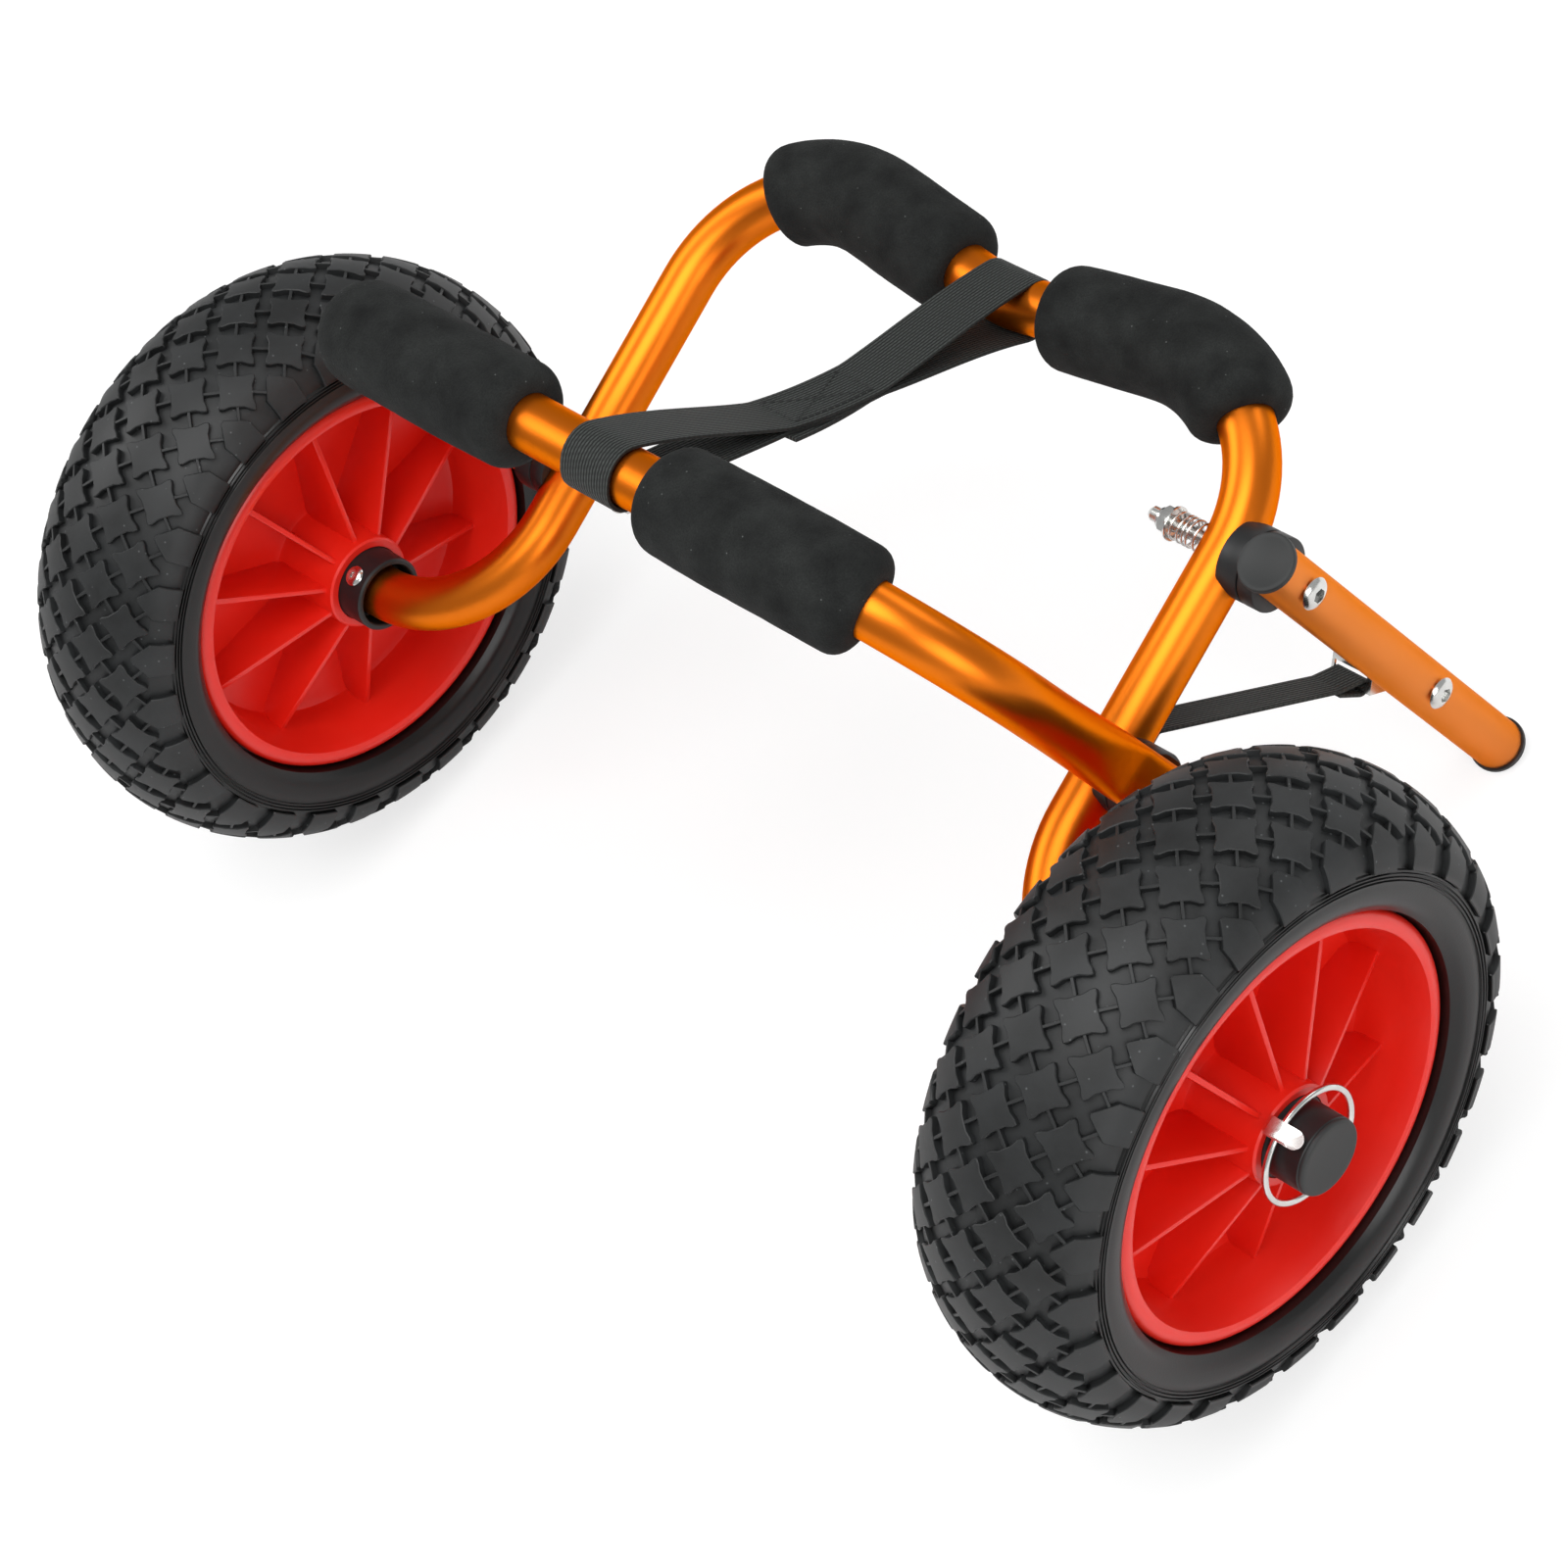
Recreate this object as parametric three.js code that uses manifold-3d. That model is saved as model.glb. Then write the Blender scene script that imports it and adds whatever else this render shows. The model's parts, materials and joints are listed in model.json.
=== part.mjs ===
// Folding kayak cart: two bent tube frames hinged like scissors, a swing-out stand,
// foam hull pads, and two ribbed wheels held on their axle stubs by ring-pull lock pins.
// Millimetres, +Z up. The origin lies on the floor below the middle of the whole cart,
// +X runs along the axle to the wheel beside the stand, +Y to the back.
import * as THREE from 'three';
import { mergeVertices } from 'three/addons/utils/BufferGeometryUtils.js';
import Module from 'manifold-3d';

const wasm = await Module();
wasm.setup();

// Wheels
const tyreDiameter = 255;
const tyreWidth = 83;
const trackWidth = 503;
const tyreBoreRadius = 79;
const tyreSeatWidth = 52;
const tyreCrownRadius = 58;
const tyreCrownTurn = THREE.MathUtils.degToRad(34);
const tyreWallTurn = THREE.MathUtils.degToRad(49);
const treadPitches = 28;
const treadBlockRows = 2;
const treadDepth = 2.2;
const rimFlangeRadius = 85.3;
const rimWidth = 67;
const rimFlangeThickness = 7.2;
const rimWallThickness = 4.2;
const rimWebThickness = 6;
const hubLength = 73;
const hubRadius = 20;
const ribsPerFace = 10;
const ribThickness = 3;
const ribHubSetback = 3;
const ribRimSetback = 18;
const ribPhase = THREE.MathUtils.degToRad(18.4);

// Axle sleeves, end caps, rivets and lock pins
const sleeveRadius = 16;
const sleeveInnerMargin = 13;
const sleeveOuterMargin = 15.5;
const sleeveMouthRadius = 13.5;
const sleeveMouthDepth = 12;
const capThickness = 1.5;
const capEdge = 0.5;
const capSpigotLength = 2;
const rivetInset = 7;
const rivetHeadRadius = 4.3;
const rivetHeadHeight = 1.8;
const rivetShankRadius = 2.2;
const rivetEyeRadius = 1.1;
const rivetEyeDepth = 1;
const pinInset = 5.5;
const pinRadius = 3;
const pinReach = 19;
const pinTipChamfer = 1;
const tabLength = 14;
const tabWidth = 7.2;
const tabThickness = 1.6;
const tabLift = 3.2;
const tabLipThickness = 1.2;
const tabLipDrop = 2.6;
const ringRadius = 22.7;
const ringWireRadius = 1.3;
const ringInset = 11;
const ringPivotLift = 1.7;

// Rear frame, the one that carries the axle stubs
const tubeRadius = 11;
const tubeWall = 1.5;
const stubRecess = 23.5;
const rearLegHalfSpan = 145;
const rearFrameHeight = 240;
const rearBarDip = 20;
const rearBendRadius = 60;
const rearDipBendRadius = 60;

// Front frame
const pivotHeight = 82;
const frontLegSpacing = 27;
const frontFrameLength = 165;
const frontBendRadius = 60;
const frontLegOverhang = 15;
const frontFlatHalfWidth = 15;
const frontFlatHalfThickness = 6;
const frontFlatLength = 20;
const frontFlatTaper = 34;
const openingAngle = THREE.MathUtils.degToRad(88.75);

// Stand
const standPivotDrop = 68;
const standSpacing = 30;
const standRadius = 10.5;
const standLength = 195;
const standTopOverhang = 22;
const standBoltDistance = 115;
const standAngle = THREE.MathUtils.degToRad(89);
const standCapRadius = 11;
const standCapThickness = 2.5;
const standCapEdge = 0.6;
const standPlugDepth = 9;

// Spring-loaded pivots
const saddleRadius = 15;
const standSaddleRadius = 16.5;
const saddleWrap = 6;
const standSeamGap = 3.2;
const boltRadius = 3;
const boltInnerReach = 38;
const boltTipChamfer = 0.8;
const boltHeadRadius = 5.75;
const boltHeadHeight = 3;
const boltHeadEdge = 1.1;
const boltSocketRadius = 2.3;
const boltSocketDepth = 1.8;
const nutFlatRadius = 5;
const nutHeight = 4;
const nutCollarHeight = 2;
const nutCollarRadius = 4.5;
const nutTipDistance = 5;
const washerRadius = 6.2;
const washerThickness = 1.2;
const springRadius = 5.2;
const springWireRadius = 0.52;
const springCoils = 5.5;

// Foam pads
const padRadius = 21;
const padCrown = 0.8;
const padEdgeRadius = 8;
const frontPadStart = 36;
const frontPadLength = 100;
const rearPadStart = 25;
const rearPadLength = 102;

// Webbing
const strapWidth = 25;
const strapThickness = 1.5;
const strapFrontShift = 7;
const strapRearShift = 1;
const strapSeamLength = 50;
const stayWidth = 15;
const stayThickness = 1.4;
const stayRivetHeight = 94;
const stayEndLength = 6;
const stayLiftHeight = 102;
const stayFoldLength = 15;
const stayTurnRadius = 1.6;
const stayLegShift = 2;

// Strap bracket on the stand
const bracketThickness = 1.2;
const bracketEyeRadius = 8;
const bracketReach = 15;
const bracketShelfDepth = 20;
const bracketShelfHeight = 12;
const bracketSlotHeight = 4;
const bracketSlotMargin = 1.3;
const bracketAngle = THREE.MathUtils.degToRad(38);

// Fits and mesh fineness
const clearance = 0.3;
const wheelClearance = 0.35;
const cutOverrun = 1;
const weldTolerance = 1e-4;
const tubeSides = 12;
const bendSteps = 5;
const lathSteps = 16;
const smallSteps = 10;
const capSteps = 14;
const rimSteps = 30;
const padEdgeSteps = 3;
const springStepsPerCoil = 8;
const springSides = 5;
const loopSteps = 12;

// Shares of the sizes that they follow
const treadReachShare = 0.8;
const blockShare = 0.67;
const lugTipShare = 0.35;
const lugShare = 0.57;
const grooveEndShare = 0.34;
const wallRingShare = 0.91;
const rimFilletShare = 0.6;
const ribHubInsetShare = 0.9;
const ribRootShare = 0.25;
const rivetShoulderShare = 0.9;
const rivetTopShare = 0.55;

const X = new THREE.Vector3(1, 0, 0);
const Y = new THREE.Vector3(0, 1, 0);
const Z = new THREE.Vector3(0, 0, 1);
const crossPlane = { across: X, along: Z, normal: Y };
const sidePlane = { across: Y, along: Z, normal: X };
const sides = [{ name: 'left', sign: -1 }, { name: 'right', sign: 1 }];

const tyreRadius = tyreDiameter / 2;
const wheelOffset = trackWidth / 2;
const sleeveInnerEnd = wheelOffset - hubLength / 2 - sleeveInnerMargin;
const sleeveOuterEnd = wheelOffset + hubLength / 2 + sleeveOuterMargin;
const axleTubeEnd = sleeveOuterEnd - stubRecess;
const frontLegHalfSpan = rearLegHalfSpan + frontLegSpacing;
const standOffset = rearLegHalfSpan + standSpacing;
const standPivotHeight = rearFrameHeight - standPivotDrop;
const boltTipX = rearLegHalfSpan - boltInnerReach;

function finish(color, roughness, metalness) {
  return new THREE.MeshStandardMaterial({ color, roughness, metalness });
}

const orangeAnodised = finish(0xf58a14, 0.32, 0.85);
const standAnodised = finish(0xd9813a, 0.42, 0.8);
const blackPlastic = finish(0x232425, 0.55, 0);
const foam = finish(0x262728, 0.95, 0);
const webbing = finish(0x1f2120, 0.85, 0);
const rubber = finish(0x2a2c2e, 0.75, 0);
const redPlastic = finish(0xe0251b, 0.42, 0);
const zincSteel = finish(0xc9cbcc, 0.28, 0.95);

// Turns every face outwards and drops faces that have shrunk to a line.
function weld(geometry) {
  const bare = geometry.clone();
  bare.deleteAttribute('normal');
  bare.deleteAttribute('uv');
  const merged = mergeVertices(bare, weldTolerance);
  const index = merged.index.array;
  const place = merged.attributes.position;
  const corners = [new THREE.Vector3(), new THREE.Vector3(), new THREE.Vector3()];
  const kept = [];
  let volume = 0;
  for (let i = 0; i < index.length; i += 3) {
    const face = [index[i], index[i + 1], index[i + 2]];
    if (new Set(face).size < 3) continue;
    kept.push(face);
    face.forEach((vertex, k) => corners[k].fromBufferAttribute(place, vertex));
    volume += corners[0].dot(corners[1].cross(corners[2]));
  }
  const turned = volume < 0 ? kept.map(([a, b, c]) => [a, c, b]) : kept;
  merged.setIndex(turned.flat());
  merged.computeVertexNormals();
  return merged;
}

function toSolid(geometry) {
  const welded = weld(geometry);
  const vertProperties = new Float32Array(welded.attributes.position.array);
  const triVerts = new Uint32Array(welded.index.array);
  return new wasm.Manifold(new wasm.Mesh({ numProp: 3, vertProperties, triVerts }));
}

function toGeometry(solid) {
  const mesh = solid.getMesh();
  const geometry = new THREE.BufferGeometry();
  geometry.setAttribute('position', new THREE.BufferAttribute(mesh.vertProperties, mesh.numProp));
  geometry.setIndex(Array.from(mesh.triVerts));
  return geometry;
}

function cut(geometry, ...tools) {
  return toGeometry(tools.reduce((body, tool) => body.subtract(toSolid(tool)), toSolid(geometry)));
}

function join(geometry, ...others) {
  return toGeometry(others.reduce((body, other) => body.add(toSolid(other)), toSolid(geometry)));
}

function piece(name, geometry, material) {
  const mesh = new THREE.Mesh(weld(geometry), material);
  mesh.name = name;
  return mesh;
}

// The right-hand shape serves the left side as its mirror image across the middle plane.
function onSide(geometry, side) {
  const copy = geometry.clone();
  copy.scale(side.sign, 1, 1);
  return copy;
}

// A revolved body about X; the outline holds [place along X, radius] pairs.
function revolveX(outline, steps, start = 0) {
  const points = outline.map(([along, radius]) => new THREE.Vector2(radius, along));
  return new THREE.LatheGeometry(points, steps, start).rotateZ(-Math.PI / 2);
}

// A revolved body about Z; the outline holds [place along Z, radius] pairs.
function revolveZ(outline, steps) {
  const points = outline.map(([along, radius]) => new THREE.Vector2(radius, along));
  return new THREE.LatheGeometry(points, steps).rotateX(Math.PI / 2);
}

function rodX(radius, from, to, steps = smallSteps) {
  return revolveX([[from, 0], [from, radius], [to, radius], [to, 0]], steps);
}

function rodZ(radius, from, to, steps = smallSteps) {
  return revolveZ([[from, 0], [from, radius], [to, radius], [to, 0]], steps);
}

function rodY(radius, from, to, steps = smallSteps) {
  return rodZ(radius, -to, -from, steps).rotateX(Math.PI / 2);
}

// Stations of a flat path whose corners are rounded, each with its place and direction.
function roundedPath(corners, radii, steps = bendSteps) {
  const points = corners.map(([across, along]) => new THREE.Vector2(across, along));
  const last = points.length - 1;
  const heading = (from, to) => points[to].clone().sub(points[from]).normalize();
  const stations = [{ place: points[0], direction: heading(0, 1) }];
  for (let i = 1; i < last; i += 1) {
    const before = heading(i - 1, i);
    const after = heading(i, i + 1);
    const turn = Math.atan2(before.cross(after), before.dot(after));
    const radius = radii[i - 1];
    const tangent = radius * Math.tan(Math.abs(turn) / 2);
    const start = points[i].clone().addScaledVector(before, -tangent);
    const inward = new THREE.Vector2(-before.y, before.x).multiplyScalar(Math.sign(turn) * radius);
    const centre = start.clone().add(inward);
    for (let k = 0; k <= steps; k += 1) {
      const angle = turn * k / steps;
      const place = start.clone().rotateAround(centre, angle);
      const direction = before.clone().rotateAround(new THREE.Vector2(), angle);
      stations.push({ place, direction });
    }
  }
  stations.push({ place: points[last], direction: heading(last - 1, last) });
  return stations;
}

// A section outline, as [out of the plane, across the path] pairs, set at one station.
function ringAt(station, plane, outline, shift = 0) {
  const { place, direction } = station;
  const centre = plane.across.clone().multiplyScalar(place.x).addScaledVector(plane.along, place.y);
  const across = plane.across.clone().multiplyScalar(-direction.y).addScaledVector(plane.along, direction.x);
  return outline.map(([out, side]) =>
    centre.clone().addScaledVector(plane.normal, out + shift).addScaledVector(across, side));
}

function ovalOutline(out, side, count) {
  return Array.from({ length: count }, (_, k) => {
    const angle = 2 * Math.PI * k / count;
    return [out * Math.cos(angle), side * Math.sin(angle)];
  });
}

function skinFaces(faces, first, rings, count) {
  for (let r = 0; r < rings - 1; r += 1) {
    for (let k = 0; k < count; k += 1) {
      const a = first + r * count + k;
      const b = first + r * count + (k + 1) % count;
      faces.push(a, b, a + count, b, b + count, a + count);
    }
  }
}

function bufferBody(points, faces) {
  const geometry = new THREE.BufferGeometry().setFromPoints(points);
  geometry.setIndex(faces);
  return geometry;
}

// A solid through rings of equal count, with flat ends.
function loft(rings) {
  const count = rings[0].length;
  const faces = [];
  skinFaces(faces, 0, rings.length, count);
  const lastRing = (rings.length - 1) * count;
  for (let k = 1; k < count - 1; k += 1) {
    faces.push(0, k + 1, k, lastRing, lastRing + k, lastRing + k + 1);
  }
  return bufferBody(rings.flat(), faces);
}

// A walled tube between an outer and an inner skin that share their two end planes.
function hollowLoft(outer, inner) {
  const count = outer[0].length;
  const faces = [];
  skinFaces(faces, 0, outer.length, count);
  const innerFaces = [];
  const innerFirst = outer.length * count;
  skinFaces(innerFaces, innerFirst, inner.length, count);
  for (let i = 0; i < innerFaces.length; i += 3) {
    faces.push(innerFaces[i], innerFaces[i + 2], innerFaces[i + 1]);
  }
  const ends = [[0, innerFirst, 1], [(outer.length - 1) * count, innerFirst + (inner.length - 1) * count, 0]];
  for (const [out, within, first] of ends) {
    for (let k = 0; k < count; k += 1) {
      const next = (k + 1) % count;
      const quad = [out + k, out + next, within + next, within + k];
      const [a, b, c, d] = first ? [quad[0], quad[3], quad[2], quad[1]] : quad;
      faces.push(a, b, c, a, c, d);
    }
  }
  return bufferBody([...outer, ...inner].flat(), faces);
}

function tubeAlong(stations, radius, wall, plane = crossPlane) {
  const outline = ovalOutline(radius, radius, tubeSides);
  const boreOutline = ovalOutline(radius - wall, radius - wall, tubeSides);
  const outer = stations.map((station) => ringAt(station, plane, outline));
  const inner = stations.map((station) => ringAt(station, plane, boreOutline));
  return hollowLoft(outer, inner);
}

// The tyre's section: crown, shoulder and wall arcs that run into each other, down to the bead.
// It gives the section's length and a point on it at a distance from the crown, at a depth.
function tyreSection(crown, bead) {
  const halfWidth = tyreWidth / 2;
  const sin = Math.sin(tyreCrownTurn);
  const cos = Math.cos(tyreCrownTurn);
  const shoulderRadius = (halfWidth - tyreCrownRadius * sin) / (1 - sin);
  const widest = crown - tyreCrownRadius * (1 - cos) - shoulderRadius * cos;
  const wallRadius = (widest - bead) / Math.sin(tyreWallTurn);
  const arcs = [
    [tyreCrownRadius, tyreCrownTurn], [shoulderRadius, Math.PI / 2 - tyreCrownTurn], [wallRadius, tyreWallTurn],
  ];
  const at = (distance, depth) => {
    let left = Math.abs(distance);
    let x = 0;
    let radius = crown;
    let angle = 0;
    for (const [bend, turn] of arcs) {
      const step = Math.min(left / bend, turn);
      x += bend * (Math.sin(angle + step) - Math.sin(angle));
      radius -= bend * (Math.cos(angle) - Math.cos(angle + step));
      angle += step;
      left -= step * bend;
    }
    return [Math.sign(distance) * (x - depth * Math.sin(angle)), radius - depth * Math.cos(angle)];
  };
  return { length: arcs.reduce((sum, [bend, turn]) => sum + bend * turn, 0), at };
}

// Tyre: staggered rows of square blocks that stand on their corners, and a row of lugs on each
// shoulder. Places on the tread are counted in pitches round the tyre and in rows across it.
function tyre() {
  const pitch = 2 * Math.PI / treadPitches;
  const ringFlat = 1 / Math.cos(pitch / 2);
  const bead = (rimFlangeRadius + clearance) * ringFlat;
  const section = tyreSection(tyreRadius / Math.cos(pitch / 2 * blockShare), bead);
  const lugRow = treadBlockRows + 1;
  const endRow = lugRow + 1;
  const rowWidth = section.length * treadReachShare / endRow;
  const spun = (round, [x, radius]) => {
    const angle = round * pitch;
    return new THREE.Vector3(x, radius * Math.sin(angle), -radius * Math.cos(angle));
  };
  const top = (round, row) => spun(round, section.at(row * rowWidth, 0));
  const floor = (round, row) => spun(round, section.at(row * rowWidth, treadDepth));
  const corners = [];
  const face = (sign, first, ...rest) => {
    const ordered = sign > 0 ? rest : rest.reverse();
    for (let i = 1; i < ordered.length; i += 1) corners.push(first, ordered[i - 1], ordered[i]);
  };
  const wallPoint = section.at(section.length * wallRingShare, 0);
  const beadPoint = section.at(section.length, 0);
  const seat = tyreSeatWidth / 2;
  const half = [wallPoint, beadPoint, [seat, bead], [seat, tyreBoreRadius * ringFlat]];
  const inside = [...half, ...half.map(([x, radius]) => [-x, radius]).reverse()];
  for (let k = 0; k < treadPitches; k += 1) {
    for (let row = -treadBlockRows; row <= treadBlockRows; row += 1) {
      const round = k + Math.abs(row % 2) / 2;
      const spots = [[-1 / 2, 0], [0, -1], [1 / 2, 0], [0, 1]];
      const high = spots.map(([u, w]) => top(round + u * blockShare, row + w * blockShare));
      const low = spots.map(([u, w]) => floor(round + u, row + w));
      face(1, ...high);
      spots.forEach((_, i) => face(1, low[i], low[(i + 1) % 4], high[(i + 1) % 4], high[i]));
    }
    for (const sign of [-1, 1]) shoulder(k, sign);
    for (let i = 1; i < inside.length; i += 1) {
      face(1, spun(k, inside[i - 1]), spun(k + 1, inside[i - 1]), spun(k + 1, inside[i]), spun(k, inside[i]));
    }
  }

  // One lug, the groove after it, and the wall below them.
  function shoulder(k, sign) {
    const middle = k + (lugRow % 2) / 2;
    const groove = middle + 1 / 2;
    const up = (round, row) => top(round, sign * row);
    const down = (round, row) => floor(round, sign * row);
    const tip = up(middle, treadBlockRows + lugTipShare);
    const [left, right] = [-lugShare / 2, lugShare / 2].map((shift) => up(middle + shift, lugRow));
    const [leftEnd, rightEnd] = [-lugShare / 2, lugShare / 2].map((shift) => up(middle + shift, endRow));
    const [before, after] = [groove - 1, groove].map((round) => down(round, lugRow));
    const root = down(middle, treadBlockRows);
    const [enter, leave] = [-grooveEndShare / 2, grooveEndShare / 2].map((shift) => down(groove + shift, endRow));
    const entered = down(groove - 1 + grooveEndShare / 2, endRow);
    const next = up(middle + 1 - lugShare / 2, endRow);
    face(sign, tip, right, left);
    face(sign, left, right, rightEnd, leftEnd);
    face(sign, root, after, right, tip);
    face(sign, before, root, tip, left);
    face(sign, after, enter, rightEnd, right);
    face(sign, left, leftEnd, entered, before);
    face(sign, after, leave, enter);
    face(sign, enter, leave, next, rightEnd);
    const [wall, wallNext] = [groove - 1, groove].map((round) => spun(round, [sign * wallPoint[0], wallPoint[1]]));
    face(sign, leftEnd, rightEnd, wallNext, wall);
    face(sign, rightEnd, next, wallNext);
  }
  return new THREE.BufferGeometry().setFromPoints(corners);
}

// Rim: one revolved shell of hub, web, barrel and flanges, with thin ribs from hub to barrel.
function rim() {
  const bore = sleeveRadius + wheelClearance;
  const barrel = tyreBoreRadius - clearance;
  const inside = barrel - rimWallThickness;
  const fillet = rimWebThickness * rimFilletShare;
  const flangeInner = tyreSeatWidth / 2 + clearance;
  const half = [
    [hubLength / 2, bore],
    [hubLength / 2, hubRadius],
    [rimWebThickness / 2, hubRadius + rimWebThickness * ribRootShare],
    [rimWebThickness / 2, inside - fillet],
    [rimWebThickness / 2 + fillet, inside],
    [rimWidth / 2, inside + rimWallThickness / 2],
    [rimWidth / 2, rimFlangeRadius],
    [flangeInner, rimFlangeRadius],
    [flangeInner, barrel],
  ];
  const mirrored = half.map(([dx, radius]) => [-dx, radius]).reverse();
  const loop = [...half, ...mirrored, half[0]];
  const facet = 2 * Math.PI / rimSteps;
  const body = revolveX(loop, rimSteps, ribPhase + facet / 2);
  const ribs = [];
  for (const face of [-1, 1]) {
    for (let k = 0; k < ribsPerFace; k += 1) {
      ribs.push(rib(face, inside).rotateX(ribPhase + 2 * Math.PI * k / ribsPerFace));
    }
  }
  return join(body, ...ribs);
}

function rib(face, inside) {
  const base = rimWebThickness * ribRootShare;
  const outline = new THREE.Shape([
    new THREE.Vector2(hubRadius * ribHubInsetShare, base),
    new THREE.Vector2(inside + rimWallThickness * ribRootShare, base),
    new THREE.Vector2(inside + rimWallThickness * ribRootShare, rimWidth / 2 - ribRimSetback),
    new THREE.Vector2(hubRadius * ribHubInsetShare, hubLength / 2 - ribHubSetback),
  ]);
  const plate = new THREE.ExtrudeGeometry(outline, { depth: ribThickness, bevelEnabled: false });
  plate.translate(0, 0, -ribThickness / 2);
  const downX = new THREE.Matrix4().makeBasis(Z.clone().negate(), X, Y.clone().negate());
  plate.applyMatrix4(downX);
  plate.scale(face, 1, 1);
  return plate;
}

// Axle sleeve: the plastic bush that the wheel turns on, riveted over the tube's end.
function axleSleeve() {
  const bore = tubeRadius + clearance;
  const step = sleeveInnerEnd + sleeveMouthDepth;
  const loop = [
    [sleeveInnerEnd, sleeveMouthRadius], [sleeveInnerEnd, sleeveRadius],
    [sleeveOuterEnd, sleeveRadius], [sleeveOuterEnd, bore],
    [step, bore], [step, sleeveMouthRadius], [sleeveInnerEnd, sleeveMouthRadius],
  ];
  const reach = sleeveRadius + cutOverrun;
  const pinHole = rodY(pinRadius + clearance, -reach, reach);
  pinHole.translate(sleeveOuterEnd - pinInset, 0, 0);
  return cut(revolveX(loop, lathSteps), pinHole, rivetHole());
}

function rivetHole() {
  const hole = rodY(rivetShankRadius + clearance, -sleeveRadius - cutOverrun, 0);
  return hole.translate(sleeveInnerEnd + rivetInset, 0, 0);
}

function sleeveCap() {
  const face = sleeveOuterEnd + clearance + capThickness;
  const seat = sleeveOuterEnd + clearance;
  const spigot = tubeRadius;
  return revolveX([
    [seat - capSpigotLength, 0], [seat - capSpigotLength, spigot], [seat, spigot],
    [seat, sleeveRadius - capEdge / 2], [face - capEdge, sleeveRadius - capEdge / 2],
    [face, sleeveRadius - capEdge - capEdge / 2], [face, 0],
  ], lathSteps);
}

function sleeveRivet() {
  const seat = sleeveRadius + clearance;
  const tip = tubeRadius - tubeWall - clearance;
  const rivet = revolveZ([
    [tip, 0], [tip, rivetShankRadius], [seat, rivetShankRadius], [seat, rivetHeadRadius],
    [seat + rivetHeadHeight / 2, rivetHeadRadius * rivetShoulderShare],
    [seat + rivetHeadHeight, rivetHeadRadius * rivetTopShare],
    [seat + rivetHeadHeight, rivetEyeRadius],
    [seat + rivetHeadHeight - rivetEyeDepth, rivetEyeRadius],
    [seat + rivetHeadHeight - rivetEyeDepth, 0],
  ], smallSteps);
  return rivet.rotateX(Math.PI / 2).translate(sleeveInnerEnd + rivetInset, 0, 0);
}

const pinX = sleeveOuterEnd - pinInset;
const tabSeat = sleeveRadius + tabLift;
const ringX = sleeveOuterEnd - ringInset;
const ringPivot = sleeveRadius + ringPivotLift;

// Lock pin: a shaft through the sleeve with a flat tab, whose lip hooks the ring.
function lockPin() {
  const shaft = revolveZ([
    [-pinReach, 0], [-pinReach, pinRadius - pinTipChamfer], [-pinReach + pinTipChamfer, pinRadius],
    [tabSeat + tabThickness / 2, pinRadius], [tabSeat + tabThickness / 2, 0],
  ], smallSteps).rotateX(Math.PI / 2);
  shaft.translate(pinX, 0, 0);
  const outerEnd = sleeveOuterEnd;
  const innerEnd = outerEnd - tabLength;
  const half = tabWidth / 2;
  const outline = new THREE.Shape();
  outline.moveTo(innerEnd, -half);
  outline.lineTo(outerEnd - half, -half);
  outline.absarc(outerEnd - half, 0, half, -Math.PI / 2, Math.PI / 2, false);
  outline.lineTo(innerEnd, half);
  outline.closePath();
  const plate = new THREE.ExtrudeGeometry(outline, {
    depth: tabThickness, bevelEnabled: false, curveSegments: smallSteps / 2,
  });
  plate.rotateX(Math.PI / 2).translate(0, -tabSeat, 0);
  const lip = new THREE.BoxGeometry(tabLipThickness, tabLipDrop + tabThickness / 2, tabWidth);
  const lipTop = -tabSeat - tabThickness / 2;
  lip.translate(innerEnd + tabLipThickness / 2, lipTop + (tabLipDrop + tabThickness / 2) / 2, 0);
  return join(plate, shaft, lip);
}

function pinRing() {
  const ring = new THREE.TorusGeometry(ringRadius, ringWireRadius, springSides, 2 * smallSteps);
  return ring.rotateY(Math.PI / 2).translate(ringX, ringRadius - ringPivot, 0);
}

function wheelSet(side) {
  const group = new THREE.Group();
  group.position.set(side.sign * wheelOffset, 0, 0);
  group.add(piece(`rim_${side.name}`, onSide(rim(), side), redPlastic));
  group.add(piece(`tyre_${side.name}`, onSide(tyre(), side), rubber));
  return group;
}

// Rear frame: stub axle, quarter bend, leg, top bend and a shallow V across, then mirrored.
function rearPath() {
  const x = rearLegHalfSpan;
  const h = rearFrameHeight;
  const corners = [
    [-axleTubeEnd, 0], [-x, 0], [-x, h], [0, h - rearBarDip], [x, h], [x, 0], [axleTubeEnd, 0],
  ];
  const bend = rearBendRadius;
  return roundedPath(corners, [bend, bend, rearDipBendRadius, bend, bend]);
}

function axleFrameTube() {
  const tube = tubeAlong(rearPath(), tubeRadius, tubeWall);
  const from = rearLegHalfSpan - tubeRadius - cutOverrun;
  const to = rearLegHalfSpan + tubeRadius + cutOverrun;
  const holes = [];
  for (const side of sides) {
    const pivotHole = rodX(boltRadius + clearance, from, to).translate(0, 0, pivotHeight);
    holes.push(onSide(pivotHole, side), onSide(rivetHole(), side));
  }
  holes.push(rodX(boltRadius + clearance, from, to).translate(0, 0, standPivotHeight));
  const stayHole = rodY(rivetShankRadius + clearance, 0, tubeRadius + cutOverrun);
  holes.push(stayHole.translate(stayLegX, 0, stayRivetHeight));
  return cut(tube, ...holes);
}

function pathLengths(stations) {
  const lengths = [0];
  for (let i = 1; i < stations.length; i += 1) {
    lengths.push(lengths[i - 1] + stations[i].place.distanceTo(stations[i - 1].place));
  }
  return lengths;
}

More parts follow.
